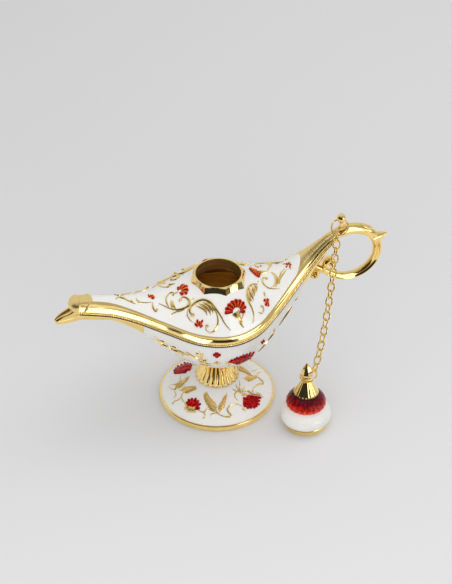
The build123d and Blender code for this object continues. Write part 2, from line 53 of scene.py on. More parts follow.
# Camera
FRAME_W_PX = 452
FRAME_H_PX = 584
FOCAL_PX = 2600
SENSOR_MM = 36.0
CAMERA_AT = Vector((-306.513, -1125.251, 1013.796))
CAMERA_RIGHT = Vector((0.96363, -0.26724, 0.0))
CAMERA_UP = Vector((0.16732, 0.60335, 0.77973))
CAMERA_BACK = CAMERA_RIGHT.cross(CAMERA_UP)

# Body stations: x, seam height, half width, moulding height, ridge height, keel height
BODY = [
    (-85.2, 84.6, 0.7, 2.0, 87.0, 80.6),
    (-84.7, 84.0, 2.6, 3.7, 88.0, 77.6),
    (-83.9, 83.8, 4.3, 5.3, 89.0, 76.3),
    (-82.4, 83.6, 5.5, 6.2, 89.7, 75.5),
    (-75.0, 82.0, 6.2, 7.1, 89.5, 74.1),
    (-62.0, 78.5, 7.2, 6.9, 87.6, 71.0),
    (-50.0, 74.5, 10.8, 6.1, 85.0, 63.0),
    (-36.0, 70.5, 19.0, 5.6, 84.0, 50.0),
    (-18.0, 67.0, 31.0, 5.3, 87.0, 36.0),
    (0.0, 66.0, 35.3, 4.8, 92.5, 30.0),
    (16.0, 67.2, 31.5, 4.9, 88.2, 34.0),
    (30.0, 71.5, 22.0, 5.6, 86.5, 44.5),
    (42.0, 78.0, 13.5, 6.4, 89.2, 58.0),
    (52.0, 86.5, 8.0, 6.2, 95.6, 72.0),
    (60.0, 94.6, 5.2, 5.0, 101.6, 84.6),
    (66.0, 100.3, 4.0, 4.0, 105.9, 93.6),
    (72.0, 104.9, 3.3, 3.3, 109.0, 101.2),
]
BODY_STEP = 1.1
FACE_PROBE = BODY_STEP / 4
MOULD_LEAN = 0.45
MOULD_SWELL = 0.2
MOULD_ROUND = 0.35
MOULD_ROWS = 10
PANEL_ROWS = 32
INNER_ROWS = 14
BOWL_ROWS = 44
WALL = 1.8
CAVITY = (-80.0, 47.0)
LIP_SETBACK = 0.6
LIP_H = 1.4
LIP_T = 0.5
LIP_ROWS = 5
COVER_WHITE = (-73.4, 49.5)
TONGUE_LENGTH = 6.0
TONGUE_ROUND = 0.06
TONGUE_SOFT = 0.1
TONGUE_ROUGH = (0.2, 0.32)
BOWL_WHITE = (-46.0, 50.5)
SLIVER = 0.15

# Pouring beak: x, half width, top, bottom; the trough in it as shares of its half sizes
BEAK = [
    (-95.4, 1.0, 77.4, 75.4),
    (-94.4, 2.1, 78.6, 74.5),
    (-91.5, 3.4, 80.8, 74.6),
    (-87.0, 4.6, 83.2, 75.0),
    (-81.0, 5.2, 87.2, 75.7),
]
BEAK_SWEEP = (58, -238, 28)
TROUGH_W = 0.58
TROUGH_H = 0.72
TROUGH_LIFT = 0.25

# Nose cap: x, share of its half sizes
NOSE = [
    (-86.9, 0.12), (-86.5, 0.45), (-85.7, 0.74), (-84.3, 0.94), (-82.7, 1.0), (-82.1, 0.99),
    (-81.8, 0.9),
]
NOSE_HALF_W = 5.9
NOSE_HALF_H = 3.8
NOSE_MID_Z = 86.9
NOSE_LEAN = 0.3
NOSE_ROUND = 2.4

# Slanting strap behind the nose: its run in x, its span over the moulding, half width and height
STRAP = (-80.0, -74.8)
STRAP_SPAN = (0.04, 0.96, 14)
STRAP_PROBE = 0.03
STRAP_SIZE = (0.9, 0.7)
STRAP_SHAPE = [(0, 0.6), (0.5, 1.0), (1, 0.6)]

# Rope bead along the cover's edge, and under it a dark cord at the joint, painted shade of the seam's gap:
# radius, inset, rise
ROPE_RUN = (-82.0, 69.0)
ROPE_RINGS = 520
ROPE = (0.7, 0.1, 0.35)
ROPE_LOBES = 3
ROPE_SWELL = 0.22
ROPE_PITCH = 3.3
PAINTED_SHADE_CORD = (0.55, 0.2, -0.8)

# Neck; the collar's section, radius and height, goes up its skirt and down its mouth
NECK_X = 1.0
NECK_HOLE_R = 14.55
NECK_CUT = 40.0
NECK_LOW_Z = 83.0
NECK_TOP_Z = 91.3
NECK_SIDES = 8
NECK_SHARP = 20
MOUTH_R = 13.05
COLLAR = [
    (18.2, NECK_LOW_Z), (15.2, NECK_TOP_Z - 0.5), (MOUTH_R + 0.8, NECK_TOP_Z - 0.1),
    (MOUTH_R + 0.5, NECK_TOP_Z), (MOUTH_R + 0.1, NECK_TOP_Z - 0.15), (MOUTH_R, NECK_TOP_Z - 0.5),
    (MOUTH_R, NECK_LOW_Z),
]
COLLAR_FACETED = 2
COLLAR_LIP = 3

# Handle loop: angle, thickness; its tail's end: x, z, thickness; its horn: step, x, z, thickness
LOOP_X = 79.5
LOOP_Z = 90.0
LOOP_R = 17.0
LOOP_THICK = [
    (-128, 2.3), (-90, 2.45), (-45, 2.6), (0, 2.85), (35, 3.05), (70, 3.3), (100, 3.35), (117, 3.3),
]
LOOP_START = 116.2
LOOP_RINGS = 90
LOOP_SIDES = 28
LOOP_TAIL = (58.2, 84.2, 2.0)
GROOVE = 0.5
GROOVE_W = 0.06
GROOVE_FADE = (48, 8)
HORN = [(0, 93.4, 97.4, 3.5), (1, 98.2, 98.4, 2.5), (2, 102.0, 99.6, 0.5)]
HORN_RINGS = 16
HORN_SIDES = 18
HORN_PROBE = 0.05

# Volutes: x, z, angle at which they leave the handle, turns, radius, thickness
VOLUTES = {
    "inner_volute": (67.9, 84.9, 225, 1.3, 5.1, 2.1),
    "outer_volute": (58.3, 78.2, 65, 1.0, 4.0, 2.0),
}
VOLUTE_RINGS = 80
VOLUTE_SIDES = 16
VOLUTE_BROAD = 1.5
VOLUTE_ROLL = 0.75
VOLUTE_TAPER = 0.45
VOLUTE_BALL = 0.4
VOLUTE_END = 12

# Ball peg: radius and height over its seat, then over the ball's middle
PEG_X = 74.0
PEG_SEAT_Z = 108.9
PEG_BALL_Z = 115.7
PEG_BALL_R = 2.8
PEG_FOOT = [(1.9, -0.4), (2.0, 0.5), (1.6, 0.9), (1.15, 1.3), (1.1, 2.5)]
PEG_NECK = [(1.1, -2.9), (1.35, -2.55)]
PEG_TIP = 0.01
BALL_ROWS = 18
BALL_FROM = 3

# Chain
WIRE = 1.0
WIRE_RINGS = 36
WIRE_SIDES = 14
WIRE_MIDDLE = 0.02
LINK_HALF_W = 1.95
LINK_STRAIGHT = 0.8
RING_R = 4.9

# Foot: sections of its rim and its underside, radius and height
FOOT_R = 34.0
FOOT_RIM_H = 3.8
FOOT_TOP_Z = 15.0
FOOT_SEAT_R = 12.9
FOOT_SIDES = 160
FOOT_SHARP = 50
DOME_INSET = 1.3
DOME_CROWN = 0.9
DOME_ROWS = 20
FOOT_RIM = [
    (FOOT_R - 4.0, 0), (FOOT_R - 0.7, 0), (FOOT_R - 0.2, 0.25), (FOOT_R, 0.8),
    (FOOT_R, FOOT_RIM_H - 0.6), (FOOT_R - 0.2, FOOT_RIM_H - 0.15), (FOOT_R - 0.55, FOOT_RIM_H),
    (FOOT_R - 0.9, FOOT_RIM_H - 0.12), (FOOT_R - 1.1, FOOT_RIM_H - 0.25),
]
FOOT_UNDER = [
    (2.6, FOOT_TOP_Z + 0.1), (2.6, FOOT_TOP_Z - 2.4), (FOOT_SEAT_R - 2.4, FOOT_TOP_Z - 2.4),
    (21.0, 7.9), (FOOT_R - 4.0, 1.4),
]

# Stem: share of its height, radius; flute depth at the foot, gain to the top, gain in the scallops
STEM = [(0.0, 12.9), (0.1, 12.6), (0.5, 10.8), (1.0, 8.8)]
STEM_LIFT = 0.1
STEM_TOP_Z = 28.6
STEM_RINGS = 30
FLUTES = 23
FLUTE_DEPTH = (0.5, 1.8, 0.4)
FLUTE_BLUNT = 0.8
SCALLOP_RISE = 1.0
SCALLOP_FADE = 5
STEM_BEAD_R = 8.1
STEM_BEAD_HALF = (1.1, 1.0)
STEM_BEAD_ROWS = 14

# Stopper: sections as radius and height, with a step before them where they are smoothed
STOPPER = (43.2, -38.5)
PLUG = [
    (11.0, 0.1), (12.1, 0.0), (12.5, 0.3), (12.6, 0.8), (12.75, 3.1), (13.1, 3.6), (12.9, 4.0),
    (11.0, 4.2),
]
BULB = [
    (0, 12.4, 3.6), (1, 14.1, 4.9), (2, 14.8, 7.3), (3, 14.2, 10.1), (4, 12.2, 12.9), (5, 10.2, 14.9),
]
GEM_BEAD = [
    (0, 10.4, 14.7), (1, 11.4, 15.6), (2, 11.6, 17.3), (3, 10.8, 19.5), (4, 9.1, 21.6), (5, 6.8, 23.3),
]
# Heights over which the gem's painted glow fades from its lower edge to dark red at its top
GEM_LOW_Z = 14.2
GEM_HIGH_Z = 23.4
GEM_RIBS = 22
GEM_RIB_DEPTH = 0.014
GEM_RIB_REACH = 0.8
FINIAL = [
    (6.4, 23.5), (7.2, 23.6), (7.3, 24.1), (6.9, 24.6), (4.9, 28.4), (3.1, 31.7), (2.6, 32.8),
    (2.4, 33.4), (2.35, 34.0), (2.7, 34.6), (3.75, 37.2), (3.85, 38.2), (2.5, 41.6), (0.3, 45.0),
]
FINIAL_SIDES = 176
FINIAL_SHARP = 16
CONE_ROWS = (3, 8)
CONE_FLUTES = 22
CONE_DIP = 0.03
BUD_SIDES = 8

# Finishes
NOISE_BAND = (0.3, 0.7)
EVEN = (1.0, 1.0, 1.0)
METAL = {"Metallic": 1.0}
GOLD_CLOUD = (150.0, 3.0)
GOLD_GRAIN = (2600.0, 1.0)
GOLD_TONES = ((0.35, (0.9, 0.66, 0.24)), (0.65, (0.97, 0.74, 0.31)))
GOLD_ROUGH = (0.06, 0.11)
GOLD_SCUFF = (0.35, 0.65, -0.02, 0.02)
GOLD_BUMP = (0.05, 0.0003)
GLAZE_TONES = ((0.78, 0.77, 0.73), (0.83, 0.82, 0.79))
GLAZE_NOISE = (38.0, 2.0)
COAT = 0.35
COAT_ROUGH = 0.05
BRUSH_NOISE = (900.0, 3.0)
BRUSH_STRETCH = (1.0, 0.08, 1.0)
BRUSH_TONES = ((0.84, 0.61, 0.24), (0.98, 0.76, 0.34))
GEM_NOISE = (620.0, 3.0)
GEM_ROUGH = (0.1, 0.22)
GEM_BUMP = (0.2, 0.0004)
GLAZE_SPECULAR = 0.25
GEM_SPECKLE = 0.2
# Painted sheen on each rib of the gem, and its painted glow: bright orange-red at the lower edge, darkening
# to near black at the top
GEM_RIB_SHEEN = 0.07
GEM_GLOW_TONES = (
    (0.02, (0.95, 0.13, 0.01)),
    (0.3, (0.62, 0.016, 0.007)),
    (0.62, (0.2, 0.002, 0.004)),
    (0.92, (0.05, 0.001, 0.003)),
)

# Relief strokes: half width and height shares along their length
VINE = [(0, 0.5), (0.4, 1.0), (1, 0.25)]
LEAF = [(0, 0.25), (0.42, 1.0), (1, 0.08)]
PETAL = [(0, 0.4), (0.55, 0.9), (0.85, 1.0), (1, 0.55)]
CUP = [(0, 1.0), (0.45, 0.75), (1, 0.25)]
STROKE_SIDES = 8
SPAN_STEPS = 5
END_STEPS = 3
STROKE_THIN = 0.05
STROKE_LIFT = 0.6
RELIEF_SINK = 0.35
KNOB_RISE = 0.35
KNOB_ROWS = 6
LAMP_MIDDLE = Vector((0, 0, 60.0))

# Flowers: share of a petal at which it and its ribs start or end, and the ribs' half width and gain
PETAL_FROM = 0.36
RIB_TO = 0.95
RIB_W = 0.32
RIB_GAIN = 1.12
BEADS_TO = 0.96
BEADS_STAGGER = 0.04

# Wide leaves, with a midrib and with lobes along both edges
VINE_GAIN = 1.35
WIDE_LEAF = 1.2
WIDE_BODY = 0.7
MIDRIB_W = 0.2
MIDRIB_GAIN = 1.35
SPINE_STEPS = 20
LOBES = range(2, 18)
LOBE_AHEAD = 0.8
LOBE_ASIDE = 0.6
LOBE_PX = 3.7
LOBE_TAPER = (1.15, 24)
LOBE_W = 0.34
LOBE_GAIN = 1.05

# Sides on which a relief is repeated, and how far from the ridge or on the foot it has to lie
AS_DRAWN = Vector((1, 1, 1))
OTHER_SIDE = Vector((1, -1, 1))
HALF_TURN = Vector((-1, -1, 1))
RIDGE_CLEAR = -2.5
FOOT_FRONT = (8.0, -17.0)

# Studio, in metres: what the pieces mirror lies between two angles and two rises, with soft edges
FLOOR_SIZE = 6
FLOOR_NOISE = (1.2, 1.0)
FLOOR_ROUGH = 0.55
FLOOR_END = (-0.36, -0.5)
FLOOR_TONES = ((0.3, (0.7, 0.7, 0.71)), (0.7, (0.75, 0.75, 0.76)))
FLOOR_MIRRORED = (0.88, 0.87, 0.85, 1)
FLOOR_DARK = (0.03, 0.026, 0.02, 1)
ROOM_DARK = ((-100.0, 10.0, 14.0), (-0.4, 0.66, 0.14))
LOW_WINDOW = ((24.0, 58.0, 3.0), (-0.2, 0.1, 0.04))
TALL_WINDOW = ((24.0, 40.0, 3.0), (0.1, 0.36, 0.04))
ROOM_PALE = (80.0, 110.0)
ROOM_LEVEL = 0.5
PALE_LEVEL = 0.25
DARK_LEVEL = 0.035
WINDOW_LEVEL = 2.8
SOFT_LEVEL = 0.62
SEEN_LEVEL = 0.66
LAMP_AIM = (0, 0, 0.05)


def cubic(table, x, column):
    """Smooth curve through one column of a table whose first column rises."""
    i = min(max(sum(row[0] <= x for row in table) - 1, 0), len(table) - 2)

    def slope(k):
        before, after = table[max(k - 1, 0)], table[min(k + 1, len(table) - 1)]
        return (after[column] - before[column]) / (after[0] - before[0])

    step = table[i + 1][0] - table[i][0]
    s = min(max((x - table[i][0]) / step, 0), 1)
    start, end = table[i][column], table[i + 1][column]
    leave, arrive = slope(i) * step, slope(i + 1) * step
    return (
        start * (2 * s**3 - 3 * s**2 + 1)
        + leave * (s**3 - 2 * s**2 + s)
        + end * (3 * s**2 - 2 * s**3)
        + arrive * (s**3 - s**2)
    )


def spread(low, high, count):
    """Evenly spaced values from low to high, both included."""
    return [low + (high - low) * k / count for k in range(count + 1)]


def turns(count):
    """Angles of a full turn in even steps."""
    return [TURN * k / count for k in range(count)]


def around(middle, first, second, sides, reach=None):
    """Ring of points round a middle; reach(angle) scales its two half axes."""
    ring = []
    for angle in turns(sides):
        size = reach(angle) if reach else 1
        ring.append(middle + first * (size * math.cos(angle)) + second * (size * math.sin(angle)))
    return ring


class Shade:
    """A shader socket, so that shader sums read as Python sums."""

    def __init__(self, tree, socket=None):
        self.tree = tree
        self.socket = socket

    def node(self, kind, inputs=None, output=0, **settings):
        """Add a node, set it up, feed its sockets and give back one output."""
        made = self.tree.nodes.new("ShaderNode" + kind)
        stops = settings.pop("stops", ())
        for name, value in settings.items():
            setattr(made, name, value)
        for k, (place, colour) in enumerate(stops):
            elements = made.color_ramp.elements
            element = elements[k] if k < len(elements) else elements.new(place)
            element.position = place
            element.color = (*colour, 1.0)
        self.feed(made, inputs or {})
        return Shade(self.tree, made.outputs[output])

    def feed(self, made, inputs):
        """Link or set the sockets of a node."""
        for name, value in inputs.items():
            if isinstance(value, Shade):
                self.tree.links.new(value.socket, made.inputs[name])
            else:
                made.inputs[name].default_value = value

    def sum(self, operation, first, second=0.0):
        return self.node("Math", {0: first, 1: second}, operation=operation)

    def __add__(self, other):
        return self.sum("ADD", self, other)

    def __sub__(self, other):
        return self.sum("SUBTRACT", self, other)

    def __rsub__(self, other):
        return self.sum("SUBTRACT", other, self)

    def __mul__(self, other):
        return self.sum("MULTIPLY", self, other)

    __radd__ = __add__
    __rmul__ = __mul__

    def noise(self, scale, detail):
        return self.node("TexNoise", {"Vector": self, "Scale": scale, "Detail": detail})

    def stretch(self, scale):
        return self.node("Mapping", {"Vector": self, "Scale": scale})

    def ramp(self, *stops):
        return self.node("ValToRGB", {"Fac": self}, stops=stops)

    def part(self, axis):
        return self.node("SeparateXYZ", {"Vector": self}, output=axis)

    def mix(self, first, second):
        return self.node("Mix", {0: self, 6: first, 7: second}, output=2, data_type="RGBA")

    def ray(self, kind):
        return self.node("LightPath", output=f"Is {kind} Ray")

    def between(self, low, high, soft):
        return self.fit(low - soft, low, 0.0, 1.0) * self.fit(high, high + soft, 1.0, 0.0)

    def fit(self, low, high, to_low, to_high):
        sockets = {"From Min": low, "From Max": high, "To Min": to_low, "To Max": to_high}
        return self.node("MapRange", {"Value": self, **sockets})

    def band(self, to_low, to_high):
        """Fit the middle of a noise's range."""
        return self.fit(*NOISE_BAND, to_low, to_high)

    def bump(self, strength, distance):
        return self.node("Bump", {"Height": self, "Strength": strength, "Distance": distance})


def finish(name, sockets):
    """A material whose surface takes the sockets that a function of the object's coordinates gives."""
    made = bpy.data.materials.new(name)
    made.use_nodes = True
    place = Shade(made.node_tree).node("TexCoord", output="Object")
    place.feed(made.node_tree.nodes["Principled BSDF"], sockets(place))
    return made


def grained(noise, tones, rough, bump=None, stretch=EVEN, stops=NOISE_BAND, fine=None, also=METAL):
    """Sockets of a finish whose colour follows a noise, and roughness and bump that or a finer one."""

    def sockets(place):
        cloud = place.stretch(stretch).noise(*noise)
        grain = place.noise(*fine) if fine else cloud
        made = {"Base Color": cloud.ramp(*zip(stops, tones)), "Roughness": grain.band(*rough)}
        if bump:
            made["Normal"] = grain.bump(*bump)
        return {**made, **also}

    return sockets


def gold_sockets(place):
    cloud = place.noise(*GOLD_CLOUD)
    scuff = place.noise(*GOLD_GRAIN).fit(*GOLD_SCUFF)
    return {
        "Base Color": cloud.ramp(*GOLD_TONES),
        "Roughness": cloud.band(*GOLD_ROUGH) + scuff,
        "Normal": cloud.bump(*GOLD_BUMP),
        **METAL,
    }


def gem_sockets(place):
    """Red with a painted glow at the bead's lower edge that fades to dark red higher up, and a painted sheen
    on each rib.
    """
    middle = (-STOPPER[0] * MM, -STOPPER[1] * MM, 0.0)
    spot = place.node("Mapping", {"Vector": place, "Location": middle})
    # painted sheen along each rib's crest
    rib = place.sum("SINE", spot.sum("ARCTAN2", spot.part("Y"), spot.part("X")) * GEM_RIBS)
    sparkle = place.noise(*GEM_NOISE)
    # painted glow: lightest at the bead's lower edge, fading as it rises
    depth = place.part("Z").fit(GEM_LOW_Z * MM, GEM_HIGH_Z * MM, 0.0, 1.0)
    tone = depth + sparkle.band(-GEM_SPECKLE, GEM_SPECKLE) - GEM_RIB_SHEEN * rib
    return {
        "Base Color": tone.ramp(*GEM_GLOW_TONES),
        "Roughness": sparkle.band(*GEM_ROUGH),
        "Specular IOR Level": GLAZE_SPECULAR,
        "Normal": sparkle.bump(*GEM_BUMP),
    }


def tongue_sockets(place):
    """Enamel that ends in a round tongue on the brushed arm."""
    streak = place.stretch(BRUSH_STRETCH).noise(*BRUSH_NOISE)
    across = place.part("Y")
    reach = place.part("X") + across * across * (TONGUE_ROUND / MM)
    white = reach.fit((COVER_WHITE[1] - TONGUE_SOFT) * MM, (COVER_WHITE[1] + TONGUE_SOFT) * MM, 1.0, 0.0)
    metal = streak.ramp(*zip(NOISE_BAND, BRUSH_TONES))
    glaze = place.noise(*GLAZE_NOISE).ramp(*zip(NOISE_BAND, GLAZE_TONES))
    return {
        "Base Color": white.mix(metal, glaze),
        "Metallic": 1 - white,
        "Roughness": streak.band(*TONGUE_ROUGH),
        "Coat Weight": COAT * white,
        "Coat Roughness": COAT_ROUGH,
    }


GOLD = finish("polished_gold", gold_sockets)
BRUSHED = finish("brushed_gold", grained(
    BRUSH_NOISE, BRUSH_TONES, rough=(0.3, 0.42), bump=(0.15, 0.0002), stretch=BRUSH_STRETCH))
LEAF_GOLD = finish("leaf_gold", grained(
    noise=(1100.0, 3.0), tones=((0.78, 0.52, 0.16), (0.98, 0.76, 0.32)), rough=(0.18, 0.32),
    bump=(0.15, 0.0002), also={"Metallic": 0.72}))
INNER = finish("inner_gold", grained(
    noise=(90.0, 4.0), tones=((0.55, 0.27, 0.06), (0.98, 0.66, 0.22)), rough=(0.24, 0.42),
    bump=(0.4, 0.0008), stretch=(0.12, 0.12, 5.0), stops=(0.32, 0.68), also={"Metallic": 0.9}))
ENAMEL = finish("white_enamel", grained(
    GLAZE_NOISE, GLAZE_TONES, rough=(0.2, 0.3), bump=(0.05, 0.0003), fine=(420.0, 2.0),
    also={"Specular IOR Level": GLAZE_SPECULAR, "Coat Weight": COAT, "Coat Roughness": COAT_ROUGH}))
RED = finish("red_enamel", grained(
    noise=(520.0, 2.0), tones=((0.13, 0.001, 0.003), (0.42, 0.003, 0.006), (0.7, 0.03, 0.008)),
    rough=(0.16, 0.3), bump=(0.1, 0.0003), stops=(0.32, 0.55, 0.78), fine=(1900.0, 1.0),
    also={"Specular IOR Level": 0.1}))
AMBER = finish("amber_enamel", grained(
    noise=(700.0, 2.0), tones=((0.8, 0.12, 0.015), (0.98, 0.42, 0.08)), rough=(0.2, 0.32),
    also={"Coat Weight": 0.4}))
GEM = finish("red_gem", gem_sockets)
STEEL = finish("turned_steel", grained(
    noise=(500.0, 2.0), tones=((0.42, 0.42, 0.43), (0.56, 0.56, 0.57)), rough=(0.28, 0.42),
    stretch=(1.0, 1.0, 9.0)))
TONGUE = finish("enamel_tongue", tongue_sockets)
# Painted shade: a dark finish for the cord that stands in for the shadow in the seam between cover and bowl
PAINTED_SEAM_SHADE = finish("painted_seam_shade", grained(
    noise=(700.0, 3.0), tones=((0.03, 0.016, 0.006), (0.1, 0.055, 0.02)), rough=(0.45, 0.7),
    also={"Metallic": 0.6}))


def skinned(name, rings, looks, pick=None, capped=True, crease=SHARP):
    """A grid primitive drawn over closed rings of points, merged along its seam and its ends."""
    if capped:
        ends = [sum((Vector(p) for p in ring), Vector()) / len(ring) for ring in (rings[0], rings[-1])]
        rings = [[ends[0]] * len(rings[0]), *rings, [ends[1]] * len(rings[0])]
    columns, rows = len(rings) - 1, len(rings[0])
    bpy.ops.mesh.primitive_grid_add(x_subdivisions=columns, y_subdivisions=rows, size=2)
    piece = bpy.context.object
    piece.name = piece.data.name = name
    for look in looks:
        piece.data.materials.append(look)
    spots = [((v.co.x + 1) / 2 * columns, (v.co.y + 1) / 2 * rows) for v in piece.data.vertices]
    spots = [(round(i), round(j)) for i, j in spots]
    if pick:
        for face in piece.data.polygons:
            corners = [spots[k] for k in face.vertices]
            look = pick(min(c[0] for c in corners), min(c[1] for c in corners))
            face.material_index = looks.index(look)
    for vertex, (i, j) in zip(piece.data.vertices, spots):
        vertex.co = Vector(rings[i][j % rows]) * MM
    bpy.ops.object.mode_set(mode="EDIT")
    bpy.ops.mesh.select_all(action="SELECT")
    bpy.ops.mesh.remove_doubles(threshold=MERGE)
    bpy.ops.mesh.normals_make_consistent(inside=False)
    bpy.ops.object.mode_set(mode="OBJECT")
    bpy.ops.object.shade_smooth_by_angle(angle=math.radians(crease))
    return piece


def belongs(piece, body, slot, *nodes):
    """Attach a finished piece to the body that it rides on and hide the nodes that it stands for; slot is
    not used.
    """
    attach(piece, body)
    if nodes:
        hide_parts(*nodes)
    return piece


def turned(name, profile, looks, sides=SIDES, centre=(0, 0), wave=None, closed=False, **form):
    """Rings at each (radius, height) of a profile; wave(angle, index) scales a ring's radius."""
    rings = []
    for k, (radius, z) in enumerate(profile + profile[:1] if closed else profile):
        reach = (lambda angle, k=k: wave(angle, k)) if wave else None
        middle = Vector((*centre, z))
        rings.append(around(middle, Vector((radius, 0, 0)), Vector((0, radius, 0)), sides, reach))
    return skinned(name, rings, looks, capped=not closed, **form)


# Body shells
def station(x):
    return [cubic(BODY, x, column) for column in range(1, len(BODY[0]))]


def panel_point(x, t):
    """Point of the cover's panel, t from -1 at the front moulding to 1 at the back one."""
    seam, half_w, mould, ridge, _ = station(x)
    top_y, top_z = half_w - MOULD_LEAN * mould, seam + mould
    return Vector((x, t * top_y, top_z + (ridge - top_z) * (1 - t * t)))


def moulding_point(x, s, side):
    """Point of the edge moulding, s from 0 at the seam to 1 at the panel."""
    seam, half_w, mould, _, _ = station(x)
    chord = Vector((-MOULD_LEAN, 1)) * mould
    rise = Vector((1, MOULD_LEAN)) * (MOULD_SWELL * mould)
    arch = 1 - (2 * s - 1) ** 2
    bulge = math.sqrt(max(arch, 0)) * MOULD_ROUND + arch * (1 - MOULD_ROUND)
    flat = Vector((half_w, seam)) + chord * s + rise * bulge
    return Vector((x, side * flat.x, flat.y))


def bowl_point(x, angle):
    """Point of the bowl's skin, angle from 0 at the front rim to pi at the back one."""
    seam, half_w, _, _, keel = station(x)
    wall_y = max(half_w - LIP_SETBACK - LIP_T, SLIVER)
    low = seam - LIP_H
    return Vector((x, -wall_y * math.cos(angle), low - (low - keel) * math.sin(angle)))


def hollow(x):
    """Half width, top rise and depth of the hollow at a cross section."""
    seam, half_w, _, ridge, keel = station(x)
    if CAVITY[0] < x < CAVITY[1]:
        return half_w - LIP_SETBACK - LIP_T - WALL, ridge - WALL - seam, seam - keel - WALL
    return SLIVER, SLIVER, SLIVER


def cover_ring(x):
    ring = [moulding_point(x, s, -1) for s in spread(0, 1, MOULD_ROWS)]
    ring += [panel_point(x, t) for t in spread(-1, 1, PANEL_ROWS)[1:-1]]
    ring += [moulding_point(x, 1 - s, 1) for s in spread(0, 1, MOULD_ROWS)]
    in_y, rise, _ = hollow(x)
    seam = station(x)[0]
    return ring + [Vector((x, -t * in_y, seam + rise * (1 - t * t))) for t in spread(-1, 1, INNER_ROWS)]


def bowl_ring(x):
    seam, half_w = station(x)[:2]
    lip_y = max(half_w - LIP_SETBACK, 2 * SLIVER) - LIP_T
    lip = []
    for angle in spread(math.pi / 2, -math.pi / 2, LIP_ROWS):
        lip.append((lip_y + LIP_T * math.cos(angle), seam - LIP_H / 2 * (1 - math.sin(angle))))
    ring = [Vector((x, -y, z)) for y, z in lip]
    ring += [bowl_point(x, a) for a in spread(0, math.pi, BOWL_ROWS)[1:-1]]
    ring += [Vector((x, y, z)) for y, z in lip[::-1]]
    in_y, _, depth = hollow(x)
    inner = [(in_y * math.cos(a), seam - depth * math.sin(a)) for a in spread(0, math.pi, INNER_ROWS)]
    return ring + [Vector((x, y, z)) for y, z in inner]


def sections(low, high, *marks):
    """Cross sections from low to high with exact ones at the marks."""
    stops = sorted([low, *marks, high])
    xs = []
    for a, b in zip(stops, stops[1:]):
        xs += spread(a, b, math.ceil((b - a) / BODY_STEP))[:-1]
    return xs + [high]


def shell(name, ring, marks, looks, look):
    """A half of the body; look(x, j) picks the finish of the faces behind x in row j."""
    xs = sections(BODY[0][0], BODY[-1][0], BODY[2][0], *marks)

    def pick(i, j):
        return look(xs[min(max(i - 1, 0), len(xs) - 1)] + FACE_PROBE, j)

    return skinned(name, [ring(x) for x in xs], looks, pick)


def make_cover():
    tongue_from = COVER_WHITE[1] - TONGUE_LENGTH
    tongue_to = COVER_WHITE[1] + BODY_STEP
    panel_to = MOULD_ROWS + PANEL_ROWS

    def look(x, j):
        if MOULD_ROWS <= j < panel_to:
            if COVER_WHITE[0] < x < tongue_from:
                return ENAMEL
            return TONGUE if tongue_from < x < tongue_to else BRUSHED
        if x < NOSE[-1][0] + BODY_STEP:
            return BRUSHED
        return INNER if j > panel_to + MOULD_ROWS else GOLD

    looks = [GOLD, ENAMEL, INNER, BRUSHED, TONGUE]
    cover = shell("cover_shell", cover_ring, (*COVER_WHITE, tongue_from, tongue_to), looks, look)
    spot = (NECK_X * MM, 0, NECK_LOW_Z * MM)
    bpy.ops.mesh.primitive_cylinder_add(
        vertices=SIDES, radius=NECK_HOLE_R * MM, depth=NECK_CUT * MM, location=spot
    )
    cutter = bpy.context.object
    bpy.context.view_layer.objects.active = cover
    hole = cover.modifiers.new("neck_hole", "BOOLEAN")
    hole.object = cutter
    hole.solver = "EXACT"
    bpy.ops.object.modifier_apply(modifier=hole.name)
    bpy.data.objects.remove(cutter)
    return belongs(cover, "lamp", "white_enamel", "cover")


def make_bowl():
    skin_to = LIP_ROWS + BOWL_ROWS

    def look(x, j):
        if LIP_ROWS <= j < skin_to and BOWL_WHITE[0] < x < BOWL_WHITE[1]:
            return ENAMEL
        return INNER if j > skin_to + LIP_ROWS else GOLD

    bowl = shell("bowl_shell", bowl_ring, BOWL_WHITE, [GOLD, ENAMEL, INNER], look)
    return belongs(bowl, "lamp", "white_enamel", "bowl")


def make_beak():
    """Open trough with thick walls that runs out from under the nose."""
    sweep = [math.radians(a) for a in spread(*BEAK_SWEEP)]
    rings = []
    for x in spread(BEAK[0][0], BEAK[-1][0], MEDIUM):
        half_w, top, low = (cubic(BEAK, x, column) for column in range(1, len(BEAK[0])))
        mid, half_h = (top + low) / 2, (top - low) / 2
        ring = [(x, half_w * math.cos(a), mid + half_h * math.sin(a)) for a in sweep]
        for a in sweep[::-1]:
            rise = half_h * (TROUGH_LIFT + TROUGH_H * math.sin(a))
            ring.append((x, TROUGH_W * half_w * math.cos(a), mid + rise))
        rings.append(ring)

    def look(i, j):
        return BRUSHED if j > len(sweep) else GOLD

    return belongs(skinned("spout_beak", rings, [GOLD, BRUSHED], look), "lamp", "gold")


def make_nose():
    """Rounded cap that closes the cover above the beak."""

    def corner(share):
        return math.copysign(abs(share) ** (2 / NOSE_ROUND), share)

    rings = []
    for x in spread(NOSE[0][0], NOSE[-1][0], MEDIUM):
        size = cubic(NOSE, x, 1)
        ring = []
        for angle in turns(FINE):
            rise = NOSE_HALF_H * size * corner(math.sin(angle))
            aside = NOSE_HALF_W * size * corner(math.cos(angle))
            ring.append((x + NOSE_LEAN * rise, aside, NOSE_MID_Z + rise))
        rings.append(ring)
    belongs(skinned("nose_cap", rings, [BRUSHED]), "lamp", "gold")


def make_straps():
    """Slanting band over the moulding behind the nose, on each side."""
    shapes = []
    for side in (-1, 1):
        laid = []
        for s in spread(*STRAP_SPAN):
            x = STRAP[0] + (STRAP[1] - STRAP[0]) * s
            slope = moulding_point(x, s + STRAP_PROBE, side) - moulding_point(x, s - STRAP_PROBE, side)
            laid.append((moulding_point(x, s, side), slope.cross(Vector((-side, 0, 0))).normalized()))
        shapes.append(raised(laid, *STRAP_SIZE, STRAP_SHAPE, SMALL))
    relief("nose_straps", BRUSHED, "gold", shapes)


